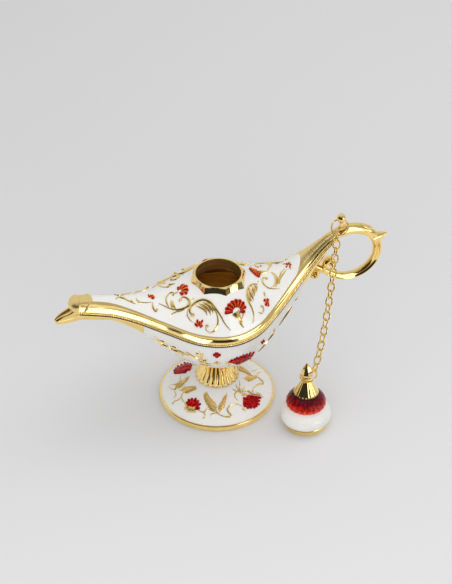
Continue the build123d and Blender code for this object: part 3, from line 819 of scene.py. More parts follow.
def edge_cord(name, look, cord, side, lobes=0, swell=0):
    """Round cord along the cover's lower edge; lobes wind round it where there are any."""
    radius, inset, rise = cord
    run = []
    for x in spread(*ROPE_RUN, ROPE_RINGS):
        seam, half_w = station(x)[:2]
        run.append(Vector((x, side * (half_w - inset), seam + rise)))
    rings, walked = [], 0.0
    for k, place in enumerate(run):
        before, after = run[max(k - 1, 0)], run[min(k + 1, ROPE_RINGS)]
        walked += (place - before).length
        ahead = (after - before).normalized()
        out = (Vector((0, side, 0)) - ahead * (side * ahead.y)).normalized()

        def reach(angle, wound=TURN * walked / ROPE_PITCH):
            return radius * (1 + swell * math.cos(lobes * (angle - wound)))

        rings.append(around(place, out, ahead.cross(out), SMALL, reach))
    belongs(skinned(name, rings, [look]), "lamp", "gold")


def polygon(angle, sides):
    """Reach of a regular polygon at an angle, as a share of its corner radius."""
    step = TURN / sides
    return math.cos(step / 2) / math.cos((angle % step) - step / 2)


def make_collar():
    """Eight-sided skirt that runs up into a thin round mouth."""

    def facet(angle, k):
        return polygon(angle, NECK_SIDES) if k % len(COLLAR) < COLLAR_FACETED else 1

    def look(i, j):
        return INNER if i > COLLAR_LIP else GOLD

    form = {"centre": (NECK_X, 0), "wave": facet, "closed": True, "pick": look, "crease": NECK_SHARP}
    belongs(turned("neck_mouth", COLLAR, [GOLD, INNER], **form), "lamp", "gold", "neck_collar")


# Handle
def loop_frame(angle):
    """Middle of the loop's tube, its outward direction and its radius."""
    out = Vector((math.cos(math.radians(angle)), 0, math.sin(math.radians(angle))))
    return Vector((LOOP_X, 0, LOOP_Z)) + out * LOOP_R, out, cubic(LOOP_THICK, angle, 1)


def tube_ring(middle, out, radius, groove=0.0, sides=LOOP_SIDES, broad=1.0):
    """Round section with a groove along each flank; broad widens it across the handle."""

    def reach(angle):
        return radius * (1 - groove * math.exp(-(((abs(math.sin(angle)) - 1) / GROOVE_W) ** 2)))

    return around(middle, out, Vector((0, broad, 0)), sides, reach)


def make_loop():
    rings = []
    for angle in spread(LOOP_START, LOOP_THICK[0][0], LOOP_RINGS):
        fade = (GROOVE_FADE[0] - angle) / (GROOVE_FADE[0] - GROOVE_FADE[1])
        rings.append(tube_ring(*loop_frame(angle), GROOVE * min(max(fade, 0), 1)))
    middle, out, radius = loop_frame(LOOP_THICK[0][0])
    tail = Vector((LOOP_TAIL[0], 0, LOOP_TAIL[1]))
    for s in spread(0, 1, SMALL)[1:]:
        size = radius + (LOOP_TAIL[2] - radius) * s
        rings.append(tube_ring(middle.lerp(tail, s), out, size, GROOVE * max(1 - 2 * s, 0)))
    return belongs(skinned("handle_ring", rings, [GOLD]), "lamp", "gold", "handle_loop")


def make_horn():
    def middle(s):
        return Vector((cubic(HORN, s, 1), 0, cubic(HORN, s, 2)))

    rings = []
    for s in spread(HORN[0][0], HORN[-1][0], HORN_RINGS):
        ahead = middle(s + HORN_PROBE) - middle(s)
        if ahead.length < MERGE:
            ahead = middle(HORN[2][0]) - middle(HORN[1][0])
        out = Vector((0, 1, 0)).cross(ahead.normalized())
        rings.append(tube_ring(middle(s), out, cubic(HORN, s, 3), sides=HORN_SIDES))
    belongs(skinned("handle_horn", rings, [GOLD]), "lamp", "gold")


def make_volute(name, x, z, start, rolled, radius, tube):
    """Tapering band that leaves the handle and rolls in clockwise to a ball."""
    rings = []
    for s in spread(0, 1, VOLUTE_RINGS):
        angle = math.radians(start) - TURN * rolled * s
        reach = (radius - tube) * (1 - s) ** VOLUTE_ROLL + tube * max(1 - VOLUTE_END * s, 0)
        thick = tube * (1 - VOLUTE_TAPER * s + VOLUTE_BALL * s**VOLUTE_END)
        out = Vector((math.cos(angle), 0, math.sin(angle)))
        middle = Vector((x, 0, z)) + out * reach
        rings.append(tube_ring(middle, out, thick, sides=VOLUTE_SIDES, broad=VOLUTE_BROAD))
    belongs(skinned(name, rings, [GOLD]), "lamp", "gold")


def make_peg():
    profile = [(radius, PEG_SEAT_Z + rise) for radius, rise in PEG_FOOT]
    profile += [(radius, PEG_BALL_Z + rise) for radius, rise in PEG_NECK]
    for angle in spread(-math.pi / 2, math.pi / 2, BALL_ROWS)[BALL_FROM:]:
        radius = PEG_BALL_R * max(math.cos(angle), PEG_TIP)
        profile.append((radius, PEG_BALL_Z + PEG_BALL_R * math.sin(angle)))
    peg = turned("ball_peg", profile, [GOLD], sides=FINE, centre=(PEG_X, 0))
    belongs(peg, "lamp", "gold", "chain_peg")


# Chain
def flat_frame(node):
    """Middle, long side and flat normal of a wire link or ring, from its node."""
    points = numpy.array([v.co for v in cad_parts[node].data.vertices])
    middle = points.mean(axis=0)
    _, _, axes = numpy.linalg.svd(points - middle, full_matrices=False)
    return Vector(middle), Vector(axes[0]), Vector(axes[2])


def make_wire(name, node, body, radius, straight=0.0):
    """A torus drawn out along its long side and turned into the node's place."""
    bpy.ops.mesh.primitive_torus_add(
        major_segments=WIRE_RINGS,
        minor_segments=WIRE_SIDES,
        major_radius=radius * MM,
        minor_radius=WIRE / 2 * MM,
    )
    piece = bpy.context.object
    piece.name = piece.data.name = name
    for side in (1, -1):
        bpy.ops.object.mode_set(mode="EDIT")
        bpy.ops.mesh.select_all(action="DESELECT")
        bpy.ops.object.mode_set(mode="OBJECT")
        for vertex in piece.data.vertices:
            vertex.select = vertex.co.x * side > radius * MM * WIRE_MIDDLE
        bpy.ops.object.mode_set(mode="EDIT")
        bpy.ops.transform.translate(value=(side * straight * MM, 0, 0))
        bpy.ops.object.mode_set(mode="OBJECT")
    middle, along, normal = flat_frame(node)
    turn = Matrix((along, normal.cross(along), normal)).transposed().to_4x4()
    piece.data.transform(Matrix.Translation(middle) @ turn)
    piece.data.materials.append(GOLD)
    bpy.ops.object.shade_smooth()
    belongs(piece, body, "gold", node)


def make_chain():
    make_wire("ring_on_peg", "peg_ring", "peg_ring", RING_R)
    make_wire("ring_on_stopper", "stopper_ring", "stopper_ring", RING_R)
    for node in sorted(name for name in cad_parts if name.startswith("chain_link_")):
        link = node.removeprefix("chain_")
        make_wire("wire_" + link, node, link, LINK_HALF_W, LINK_STRAIGHT)


# Foot and stem
def make_foot():
    dome = []
    low_r = FOOT_R - DOME_INSET
    for s in spread(0, 1, DOME_ROWS):
        rise = (FOOT_TOP_Z - FOOT_RIM_H) * s + DOME_CROWN * math.sin(math.pi * s)
        dome.append((low_r + (FOOT_SEAT_R - low_r) * s, FOOT_RIM_H + rise))

    def look(i, j):
        return ENAMEL if len(FOOT_RIM) - 1 <= i < len(FOOT_RIM) + len(dome) else GOLD

    form = {"sides": FOOT_SIDES, "closed": True, "pick": look, "crease": FOOT_SHARP}
    foot = turned("foot_dome", FOOT_RIM + dome + FOOT_UNDER, [GOLD, ENAMEL], **form)
    return belongs(foot, "lamp", "white_enamel", "foot")


def make_stem():
    """Skirt of flutes and ribs that spread towards the foot and end in scallops."""
    rings = []
    for s in spread(0, 1, STEM_RINGS):
        low = (1 - s) ** SCALLOP_FADE
        scoop = FLUTE_DEPTH[0] + FLUTE_DEPTH[1] * s + FLUTE_DEPTH[2] * low
        height = FOOT_TOP_Z + STEM_LIFT + (STEM_TOP_Z - FOOT_TOP_Z) * s
        ring = []
        for angle in turns(FLUTES * SMALL):
            dip = (1 - math.cos(angle * FLUTES)) / 2
            radius = cubic(STEM, s, 1) - scoop * dip**FLUTE_BLUNT
            z = height + SCALLOP_RISE * low * dip
            ring.append((radius * math.cos(angle), radius * math.sin(angle), z))
        rings.append(ring)
    belongs(skinned("fluted_stem", rings, [GOLD]), "lamp", "gold", "stem")
    half_w, half_h = STEM_BEAD_HALF
    bead = []
    for angle in spread(-math.pi / 2, math.pi / 2, STEM_BEAD_ROWS):
        rise = half_h * (1 + math.sin(angle))
        bead.append((STEM_BEAD_R + half_w * math.cos(angle), STEM_TOP_Z + rise))
    belongs(turned("stem_bead", bead, [GOLD]), "lamp", "gold")


# Stopper
def make_stopper():
    def smooth(shape):
        return [(cubic(shape, s, 1), cubic(shape, s, 2)) for s in spread(0, shape[-1][0], FINE)]

    def scallop(angle, k):
        low = math.sqrt(max(1 - k / FINE / GEM_RIB_REACH, 0))
        return 1 + GEM_RIB_DEPTH * math.sin(GEM_RIBS * angle) * low

    def facet(angle, k):
        if k < CONE_ROWS[0]:
            return 1
        if k > CONE_ROWS[1]:
            return polygon(angle, BUD_SIDES)
        return 1 - CONE_DIP * math.sin(CONE_FLUTES / 2 * angle) ** 2

    ribbed = {"sides": GEM_RIBS * TINY, "wave": scallop}
    faceted = {"sides": FINIAL_SIDES, "wave": facet, "crease": FINIAL_SHARP}
    for name, profile, look, slot, node, form in (
        ("plug_band", PLUG, GOLD, "gold", "stopper_plug", {}),
        ("white_bulb", smooth(BULB), ENAMEL, "white_enamel", "stopper_bulb", {}),
        ("red_gem_ring", smooth(GEM_BEAD), GEM, "red_gem", "stopper_gem_ring", ribbed),
        ("faceted_finial", FINIAL, GOLD, "gold", "stopper_finial", faceted),
    ):
        belongs(turned(name, profile, [look], centre=STOPPER, **form), "stopper", slot, node)


# Relief ornament, drawn on the photograph's pixels and laid on the piece under them
def lay(ground, spot):
    """Point and normal where the camera's ray through a pixel meets a piece."""
    across, down = (spot[0] - FRAME_W_PX / 2) / FOCAL_PX, (spot[1] - FRAME_H_PX / 2) / FOCAL_PX
    way = (CAMERA_RIGHT * across - CAMERA_UP * down - CAMERA_BACK).normalized()
    start = CAMERA_AT * MM
    hit, place, normal, _ = ground.ray_cast(start, way)
    if not hit:
        near = start + way * (LAMP_MIDDLE * MM - start).dot(way)
        _, place, normal, _ = ground.closest_point_on_mesh(near)
    return place / MM, normal


def curve(points, steps):
    """Smooth line through flat points, in even steps over its spans."""
    points = [Vector(p) for p in points]
    run = [points[0] * 2 - points[1], *points, points[-1] * 2 - points[-2]]
    line = []
    for s in spread(0, len(points) - 1, steps):
        i = min(int(s), len(points) - 2)
        a, b, c, d = run[i : i + 4]
        s -= i
        bend = (2 * a - 5 * b + 4 * c - d) * s**2 + (3 * b - a - 3 * c + d) * s**3
        line.append((2 * b + (c - a) * s + bend) / 2)
    return line


def raised(laid, width, height, shape, sides):
    """Rings of a line that swells and tapers over places and normals of a piece."""
    last = len(laid) - 1
    rings = []
    for k, (place, normal) in enumerate(laid):
        ahead = laid[min(k + 1, last)][0] - laid[max(k - 1, 0)][0]
        share = max(cubic(shape, k / last, 1), STROKE_THIN)
        side = ahead.cross(normal).normalized() * (width * share)
        ring = []
        for angle in turns(sides):
            lift = height * share**STROKE_LIFT if math.sin(angle) > 0 else RELIEF_SINK
            ring.append(place + side * math.cos(angle) + normal * (lift * math.sin(angle)))
        rings.append(ring)
    return rings


def stroke(ground, path, width, height, shape=VINE, sides=STROKE_SIDES):
    """Rings of a raised line along a path of pixels."""
    line = curve(path, SPAN_STEPS * (len(path) - 1) + END_STEPS)
    return raised([lay(ground, spot) for spot in line], width, height, shape, sides)


def knob(ground, spot, radius):
    """Rings of a ball half sunk in the piece under a pixel."""
    place, normal = lay(ground, spot)
    side = normal.orthogonal().normalized()
    rings = []
    for rise in spread(0, math.pi, KNOB_ROWS)[1:-1]:
        middle = place + normal * (radius * (KNOB_RISE + math.cos(rise)))
        reach = radius * math.sin(rise)
        rings.append(around(middle, side * reach, normal.cross(side) * reach, TINY))
    return rings


def blossom(ground, heart, tips, count, width, height, inner=PETAL_FROM):
    """Rings of a fan of petals, and of the ribs between them."""
    heart = Vector(heart)
    petals, ribs = [], []
    for k, end in enumerate(curve(tips, 2 * (count - 1))):
        start = heart.lerp(end, inner)
        if k % 2 == 0:
            petals.append(stroke(ground, [start, end], width, height, PETAL))
        else:
            ribs.append(stroke(ground, [start, heart.lerp(end, RIB_TO)], RIB_W, height * RIB_GAIN, PETAL))
    return petals, ribs


def beads(ground, heart, tips, columns, rows, radius, inner):
    """Rings of small balls in rows over a flower's fan."""
    heart = Vector(heart)
    balls = []
    for k, end in enumerate(curve(tips, columns - 1)):
        for share in spread(inner, BEADS_TO, rows - 1):
            balls.append(knob(ground, heart.lerp(end, share + BEADS_STAGGER * (k % 2)), radius))
    return balls


def beaded(ground, flowers, width, height, inner, beads_from):
    """Rings of flowers whose petals carry rows of beads."""
    shapes = []
    for heart, tips, columns, rows, radius in flowers:
        shapes += blossom(ground, heart, tips, columns, width, height, inner)[0]
        shapes += beads(ground, heart, tips, columns, rows, radius, beads_from)
    return shapes


def veined(ground, path, width, height):
    """Rings of a leaf; a wide one is a midrib with lobes along both edges."""
    if width <= WIDE_LEAF:
        return [stroke(ground, path, width, height, LEAF, TINY)]
    shapes = [stroke(ground, path, width * WIDE_BODY, height, LEAF, TINY)]
    shapes.append(stroke(ground, path, MIDRIB_W, height * MIDRIB_GAIN))
    spine = curve(path, SPINE_STEPS)
    for k in LOBES:
        ahead = (spine[k + 1] - spine[k - 1]).normalized()
        aside = ahead.orthogonal() * (LOBE_ASIDE if k % 2 else -LOBE_ASIDE)
        reach = LOBE_PX * width * (LOBE_TAPER[0] - k / LOBE_TAPER[1])
        lobe = (ahead * LOBE_AHEAD + aside) * reach
        ends = [spine[k], spine[k] + lobe / 2, spine[k] + lobe]
        shapes.append(stroke(ground, ends, width * LOBE_W, height * LOBE_GAIN, LEAF))
    return shapes


def pairs(flat):
    """Pixels of a path from their x and y in one row."""
    return list(zip(flat[::2], flat[1::2]))


def gilt(ground, vines, leaves, cups, knobs, gain=1.0):
    """Rings of all the gilt strokes and balls on a piece."""
    shapes = [stroke(ground, pairs(path), width * gain, height) for width, height, *path in vines]
    for width, height, *path in leaves:
        shapes += veined(ground, pairs(path), width, height)
    shapes += [stroke(ground, pairs(path), width, height, CUP) for width, height, *path in cups]
    return shapes + [knob(ground, *ball) for ball in knobs]


def relief(name, look, slot, shapes, turn=AS_DRAWN):
    """Join raised shapes to one piece, each moved by turn first."""
    made = []
    for shape in shapes:
        made.append(skinned(name, [[p * turn for p in ring] for ring in shape], [look]))
    bpy.ops.object.select_all(action="DESELECT")
    for piece in made:
        piece.select_set(True)
    bpy.context.view_layer.objects.active = made[0]
    bpy.ops.object.join()
    belongs(bpy.context.object, "lamp", slot)


def both_sides(turn, *reliefs):
    """Reliefs as they are drawn, then what the hidden side repeats of them."""
    for name, look, slot, shapes, _ in reliefs:
        relief(name + "_front", look, slot, shapes)
    for name, look, slot, _, hidden in reliefs:
        relief(name + "_back", look, slot, hidden, turn)


def centre(shape):
    points = [p for ring in shape for p in ring]
    return sum(points, Vector()) / len(points)


def off_ridge(shapes):
    """The shapes that lie clear of the cover's ridge, so that the other side has its own."""
    return [shape for shape in shapes if centre(shape).y < RIDGE_CLEAR]


def on_front(shapes):
    """The shapes on the front of the foot, which its hidden back repeats."""
    return [shape for shape in shapes if centre(shape).y < FOOT_FRONT[1] and centre(shape).x < FOOT_FRONT[0]]


# Vines, leaves and cups: half width, height, then x and y of each pixel on the path. Knobs: pixel, radius.
# Fans: heart, tips, petals, half width, height. Beaded flowers: heart, tips, columns, rows, radius.
COVER_VINES = [
    (0.75, 1.0, 192.5, 315.5, 190, 312, 190.6, 307.5, 196, 302.2, 203, 299.7, 209, 301.2, 213, 305,
     220.5, 315.5, 224.5, 323, 230.5, 330.5),
    (0.45, 0.7, 216, 312, 218, 319.5, 217.3, 325.7, 214.4, 330.6, 210.3, 332.3, 206.6, 330.6, 205.2, 327.2),
    (0.3, 0.5, 188, 309, 187.3, 315, 190.2, 320.2, 194.8, 323.2),
    (0.65, 0.9, 180.3, 300, 182, 297.9, 185.5, 297.6, 188.8, 300, 189.3, 303.6, 186.5, 307, 181, 309,
     175.5, 309.7, 170, 308.5, 164.5, 306, 158.8, 303.6),
    (0.4, 0.6, 188.5, 305, 185, 308.5, 180.5, 311, 175.5, 312.2, 171.5, 314.5, 169.5, 319.5),
    (0.4, 0.6, 169, 307.6, 166.6, 302.5, 166.2, 298, 168.5, 294.6, 172.5, 293),
    (0.6, 0.6, 173, 309, 171.2, 304, 171.2, 300),
    (0.45, 0.5, 176, 309.5, 173.2, 304, 172.8, 300.5),
    (0.5, 0.6, 115.5, 299, 118.7, 297.2, 123, 298, 127.5, 300.4, 131.5, 302.5, 135.5, 303.8),
    (0.35, 0.5, 130.8, 299.6, 131.6, 301, 133, 302.6),
    (0.45, 0.6, 136, 298.4, 137.8, 301.2, 141, 302.7, 146.5, 302.8, 151.5, 302.3),
    (0.45, 0.6, 152.4, 302.3, 153, 307.4, 155.2, 311.2, 157, 311.6),
    (0.5, 0.8, 257.7, 284.5, 252.3, 284.3, 248.6, 287, 246.9, 292.4, 247.5, 298.5, 249.3, 303.3,
     251.8, 308.2, 253.5, 314.2, 253.6, 319.7, 252.4, 323.6),
    (0.4, 0.6, 262.3, 306, 263.6, 308.9, 262.6, 312.4, 260.2, 313.3, 258.3, 311.8),
    (0.4, 0.6, 263.8, 291.8, 264.4, 294, 265.1, 297),
    (0.45, 0.7, 266.8, 278.6, 263.5, 278, 262.2, 280.5, 263.9, 284.6, 267.5, 287.6, 272.4, 288.8,
     279.4, 288.6),
    (0.45, 0.6, 278.8, 282.5, 280.8, 277.5, 284.3, 272.5, 287.6, 269),
    (0.35, 0.5, 279.2, 277.5, 281.2, 272.6, 285, 268.4),
    (0.4, 0.5, 266.5, 272.4, 268.6, 268.6, 270.8, 266.6),
    (0.6, 0.8, 240.2, 320, 240.6, 323.5, 243.7, 327.6),
    (0.3, 0.35, 305.2, 247.6, 307, 250.4, 309, 253.4),
    (0.3, 0.35, 308.6, 245.2, 310.6, 248.2, 313, 251.8),
]
COVER_LEAVES = [
    (1.0, 0.8, 196, 306, 202.4, 308.2, 205.6, 311.2, 207.2, 316),
    (1.1, 0.95, 199, 303.9, 206, 306.4, 209.2, 310.6, 210.6, 315.6),
    (1.1, 1.0, 203, 302.5, 209.5, 305.8, 212.2, 309.8, 213, 313.5),
    (0.9, 0.9, 206.5, 301.8, 212.2, 306.2, 214.7, 310, 215.6, 312.5),
    (0.9, 0.8, 254, 284.6, 256.4, 287.4, 256.4, 292),
    (1.1, 0.95, 251, 285.4, 253.9, 290.6, 254.4, 296.4),
    (1.1, 0.95, 249, 288.4, 251.5, 294.8, 253.6, 300.6),
    (0.9, 0.8, 248, 293, 250, 299.6, 252.8, 302.2),
    (0.95, 0.9, 271.4, 272.3, 275.2, 275.6, 276.4, 280.4, 274.6, 285.2, 270.4, 287.8),
    (0.8, 0.7, 273.4, 274, 278.6, 279, 278.2, 284, 274.6, 287.4),
    (0.6, 0.7, 168, 294.4, 171.6, 292.6, 175, 293.4),
    (0.8, 0.9, 172.5, 296, 174.5, 294, 178.6, 291.8),
    (1.1, 0.9, 258.2, 271, 262.5, 272, 267.4, 272),
    (0.7, 0.7, 259, 274.2, 262.5, 273.2, 267, 272.6),
    (0.5, 0.5, 282.6, 264.4, 284.6, 263.8, 287, 264.6),
    (0.45, 0.5, 289.5, 269.2, 291, 268.4, 292, 267.6),
]
COVER_CUPS = [
    (2.6, 1.3, 235.5, 312.2, 238, 316, 240.2, 320.5),
    (0.7, 1.1, 232.8, 314.4, 236.5, 317.4, 239.8, 320.6),
    (0.6, 1.1, 243.6, 311.8, 242.6, 316.2, 240.8, 320.4),
]
COVER_KNOBS = [
    ((192.8, 315.2), 1.15), ((207, 326), 1.0), ((180.2, 300.4), 0.9), ((157, 309.8), 0.8),
    ((193.4, 298.8), 0.5), ((261.4, 306.2), 0.7), ((266.6, 278.9), 0.8), ((258.2, 281.8), 0.45),
    ((240.8, 322), 1.0),
]
COVER_FANS = [
    ((237.2, 312), [(224.6, 312.8), (225.2, 307.8), (228.6, 303), (233, 300), (238, 299.2), (242.6, 301.2),
     (245.6, 306), (244.8, 311.8)], 9, 1.05, 1.5),
    ((177.6, 292), [(178.8, 287.6), (183.4, 284.8), (187.6, 286), (188.6, 290), (187.4, 293.6),
     (183.4, 294.8)], 6, 0.95, 1.3),
    ((199, 329.5), [(194.8, 323.4), (197.2, 319.6), (199.8, 321.4), (202.6, 319.8), (202.4, 325)], 5, 0.65,
     1.1),
    ((149, 295.4), [(148.4, 295.2), (152, 295.8), (155.4, 297.8), (152.6, 299.2), (149.4, 297.4)], 4, 0.8,
     1.0),
    ((261, 271.4), [(249, 269), (250.6, 271.2), (253, 273.8), (255.6, 276), (258, 277.4)], 7, 0.95, 1.3),
    ((265.2, 297), [(264.2, 301.6), (266, 306), (268.6, 306.4), (268.6, 301)], 4, 0.7, 1.1),
    ((288.4, 266), [(286, 267.4), (286.4, 263.6), (289.6, 262.6), (291.4, 264.6), (290.4, 267.4)], 5, 0.5,
     0.9),
]
BOWL_VINES = [
    (0.9, 0.9, 155, 336.6, 157.5, 340, 161, 343.2, 166, 346, 172.2, 348.6),
    (0.9, 1.0, 168, 345.8, 174, 350, 180, 352, 186, 354.4, 192.8, 356.4),
    (0.8, 0.9, 186, 351.8, 190, 354.4, 196, 357.8, 202, 360.6),
    (0.6, 0.9, 201, 358, 204, 361, 206.6, 359.6, 205, 358.4),
    (0.6, 0.6, 297.8, 296.6, 297.4, 299.4, 296.4, 302),
    (0.8, 0.9, 293.4, 307, 291, 310.8, 288.4, 315, 286, 320, 282, 327.4),
    (0.9, 0.9, 274.6, 328.4, 273.4, 333.4, 270.8, 338.4, 267.4, 343),
    (0.8, 0.9, 269.4, 341.6, 264.6, 346.4, 258.8, 351),
    (0.8, 0.8, 214.3, 363.4, 217.4, 362, 220.1, 363.4),
    (0.5, 0.6, 239, 364.8, 241, 363.2, 243.4, 363.4),
    (0.5, 0.6, 245, 364.2, 247, 363, 248.4, 361.4),
]
BOWL_LEAVES = [
    (1.0, 0.7, 195.6, 352.6, 197.6, 354.6, 200.4, 358),
    (0.9, 0.7, 199.4, 351.6, 199.6, 355, 201, 358.6),
    (0.8, 0.6, 203, 353.2, 201.8, 356, 201.6, 359),
    (0.8, 0.6, 292, 308.8, 294, 310.4, 294.6, 312.4),
    (1.1, 0.7, 159, 340.6, 163.4, 342, 167.4, 345.4),
    (1.1, 0.7, 170, 347, 174.4, 347.4, 179, 350.6),
    (1.0, 0.7, 177, 350, 180, 351.4, 184.6, 352.6),
    (1.15, 0.8, 198.6, 360.6, 204.4, 363.2, 211.4, 364),
    (1.0, 0.7, 200, 363.6, 205, 365.2, 210.8, 365.6),
    (1.1, 0.8, 225.4, 361.6, 227.8, 363.4, 229.8, 365.8),
    (0.9, 0.8, 230.4, 361.8, 229, 364, 228.4, 366),
]
BOWL_KNOBS = [
    ((172.6, 348.8), 0.9), ((183, 354), 0.9), ((205.8, 360), 0.9), ((258.9, 351), 0.8), ((162, 344.6), 0.8),
    ((217.6, 362.8), 0.9),
]
BOWL_FANS = [
    ((216.8, 354.8), [(213, 354.8), (216.6, 352.4), (220.8, 354.7), (217, 357.2)], 4, 1.2, 1.0, 0.0),
    ((261, 343.4), [(261, 341.4), (263.8, 339.2), (264.4, 340.8), (262.4, 343.2)], 4, 0.5, 0.8),
]
BOWL_BEADED = [
    ((246, 366), [(229, 361), (234, 358.6), (240, 356.2), (246.6, 353.6), (253.6, 351.6)], 9, 3, 0.72),
]
FOOT_VINES = [
    (0.45, 0.6, 180.4, 375.6, 180, 381, 175.6, 384.6, 170.5, 384.6),
    (0.35, 0.5, 174, 391, 176, 394.6, 173.2, 399),
    (0.35, 0.5, 176, 389.8, 170.8, 388.6, 168.8, 385.8),
    (0.45, 0.6, 184, 391.6, 181.4, 396.8, 184, 402.4, 187.4, 405),
    (0.35, 0.5, 181.4, 396.8, 179, 399.6, 174, 401.8, 172.8, 403.6),
    (0.45, 0.6, 198.2, 410.4, 203.4, 412.2, 206, 410, 207.2, 407.6),
    (0.4, 0.5, 203.4, 412.2, 205, 414.6, 203.6, 418),
    (0.6, 0.8, 217.9, 414, 225, 416.8, 231.2, 416, 228, 411.6, 227.6, 408, 231.4, 405, 237.4, 404.2,
     243, 407.2),
    (0.4, 0.5, 216.2, 413.2, 211.8, 414, 209.8, 416.8),
    (0.4, 0.6, 244.6, 408.4, 242.4, 409.2, 246.4, 411.2),
    (0.35, 0.6, 239.2, 392, 237, 387.6, 235.6, 383.8),
    (0.35, 0.6, 239.2, 392, 239.8, 386, 239.2, 381),
    (0.35, 0.6, 239.4, 391.8, 243, 389, 244.8, 386.2),
    (0.35, 0.6, 239, 392, 235.6, 391, 232, 389),
    (0.4, 0.6, 238.8, 392.4, 235.4, 393, 234.8, 396.8, 238, 401.4),
    (0.5, 1.0, 240, 392, 247, 391.2, 251.8, 394, 258, 395, 260.6, 397.4),
    (0.5, 0.7, 251.8, 375.8, 258, 377.6, 263.4, 383.4, 258.2, 384.4, 253.6, 388, 252.8, 392, 255.4, 395),
    (0.4, 0.5, 256.4, 392.4, 260.2, 394.6, 263.2, 398),
    (0.35, 0.5, 251.6, 371.4, 254.4, 370.6, 257.2, 368.6),
    (0.35, 0.5, 257, 375.8, 258, 373, 261.6, 372),
    (0.35, 0.5, 189, 366, 192.6, 364.6, 197.4, 365.4),
    (0.35, 0.5, 187, 369.2, 191, 369.2, 193, 367.2),
]
FOOT_LEAVES = [
    (2.2, 0.7, 217.9, 414, 212.6, 406.4, 207.6, 399.4, 204.6, 391.8),
    (1.5, 0.7, 218.8, 413.4, 221.2, 407, 224, 400.6, 226.9, 392.6),
    (1.3, 0.7, 174.2, 390, 179.4, 385.6, 184.8, 381, 189.4, 376.4),
    (1.7, 0.7, 179.4, 390.4, 185.8, 390.2, 192, 388.8, 196.4, 387.8),
    (1.3, 0.7, 235.6, 366.6, 243.6, 370.4, 251.8, 375.8),
    (1.4, 0.7, 243, 378.8, 250, 378.6, 257, 376.6),
]
FOOT_KNOBS = [
    ((188.4, 411), 0.9), ((191.4, 411.8), 0.9), ((185.8, 408.6), 0.9), ((194.6, 411.8), 0.8),
    ((240, 391.8), 1.1), ((186, 404.8), 0.8), ((203.8, 417.8), 0.6), ((172.8, 403.6), 0.6),
]
FOOT_CUPS = [
    (1.5, 1.2, 195.6, 408.8, 190.6, 408.4, 186.8, 405.4, 186, 401.6),
    (1.0, 1.1, 241.8, 394.4, 245.6, 394.6, 250, 395.6),
]
FOOT_BEADED = [
    ((189.6, 408.2), [(187.2, 402.8), (189.4, 399.6), (193.6, 398.8), (197.6, 400), (199.8, 403.6),
     (199.4, 408.4)], 7, 4, 0.78),
    ((243.6, 394.8), [(244.8, 406.6), (249, 408.4), (253.6, 407.8), (257.2, 406.4), (259.2, 402.6),
     (260, 398)], 8, 5, 0.8),
    ((189.4, 372.6), [(174.4, 373), (175.2, 369), (179.6, 365.6), (185.6, 363.2), (190.6, 364.4)], 8, 3,
     0.75),
]
LOOP_LINES = [
    [(359.6, 224.1), (366.5, 227.1), (371.8, 231)],
    [(361.1, 228.7), (367.2, 231.7), (374.1, 234)],
    [(364.2, 223.3), (371, 227.9), (376.4, 231.7)],
]
BOWL_BEADING = (1.0, 0.7, 0.3, 0.55)
FOOT_BEADING = (1.1, 0.8, 0.2, 0.3)
LOOP_LINE = (0.5, 0.2)


def make_cover_relief(cover):
    gold = gilt(cover, COVER_VINES, COVER_LEAVES, COVER_CUPS, COVER_KNOBS, VINE_GAIN)
    flowers = [blossom(cover, *fan) for fan in COVER_FANS]
    red = sum((petals for petals, _ in flowers), [])
    amber = sum((ribs for _, ribs in flowers), [])
    both_sides(
        OTHER_SIDE,
        ("cover_scrolls", GOLD, "gold", gold, off_ridge(gold)),
        ("cover_petals", RED, "red_gem", red, flowers[0][0]),
        ("cover_petal_ribs", AMBER, "red_gem", amber, flowers[0][1]),
    )


def make_bowl_relief(bowl):
    gold = gilt(bowl, BOWL_VINES, BOWL_LEAVES, [], BOWL_KNOBS)
    red = sum((blossom(bowl, *fan)[0] for fan in BOWL_FANS), [])
    red += beaded(bowl, BOWL_BEADED, *BOWL_BEADING)
    both_sides(
        OTHER_SIDE,
        ("bowl_scrolls", GOLD, "gold", gold, gold),
        ("bowl_petals", RED, "red_gem", red, red),
    )


def make_foot_relief(foot):
    gold = gilt(foot, FOOT_VINES, FOOT_LEAVES, FOOT_CUPS, FOOT_KNOBS)
    red = beaded(foot, FOOT_BEADED, *FOOT_BEADING)
    both_sides(
        HALF_TURN,
        ("foot_leaves", LEAF_GOLD, "gold", gold, on_front(gold)),
        ("foot_petals", RED, "red_gem", red, on_front(red)),
    )


cover = make_cover()
bowl = make_bowl()
beak = make_beak()
make_nose()
make_straps()
for name, side in (("front", -1), ("back", 1)):
    edge_cord("seam_rope_" + name, GOLD, ROPE, side, ROPE_LOBES, ROPE_SWELL)
    # a dark cord under the rope bead, painted shade of the seam's gap
    edge_cord("seam_shade_strip_" + name, PAINTED_SEAM_SHADE, PAINTED_SHADE_CORD, side)
make_collar()
loop = make_loop()
make_horn()
for name, form in VOLUTES.items():
    make_volute(name, *form)
make_peg()
make_chain()
foot = make_foot()
make_stem()
make_stopper()
bpy.context.view_layer.update()
make_cover_relief(cover)
make_bowl_relief(bowl)
make_foot_relief(foot)
loop_lines = [stroke(loop, path, *LOOP_LINE) for path in LOOP_LINES]
both_sides(OTHER_SIDE, ("loop_leaf", GOLD, "gold", loop_lines, loop_lines))

# Carried-over CAD nodes
for node in ("pedestal_screw", "pedestal_washer", "stopper_stud", "stopper_nut"):
    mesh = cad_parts[node].data
    mesh.materials.clear()
    mesh.materials.append(STEEL)


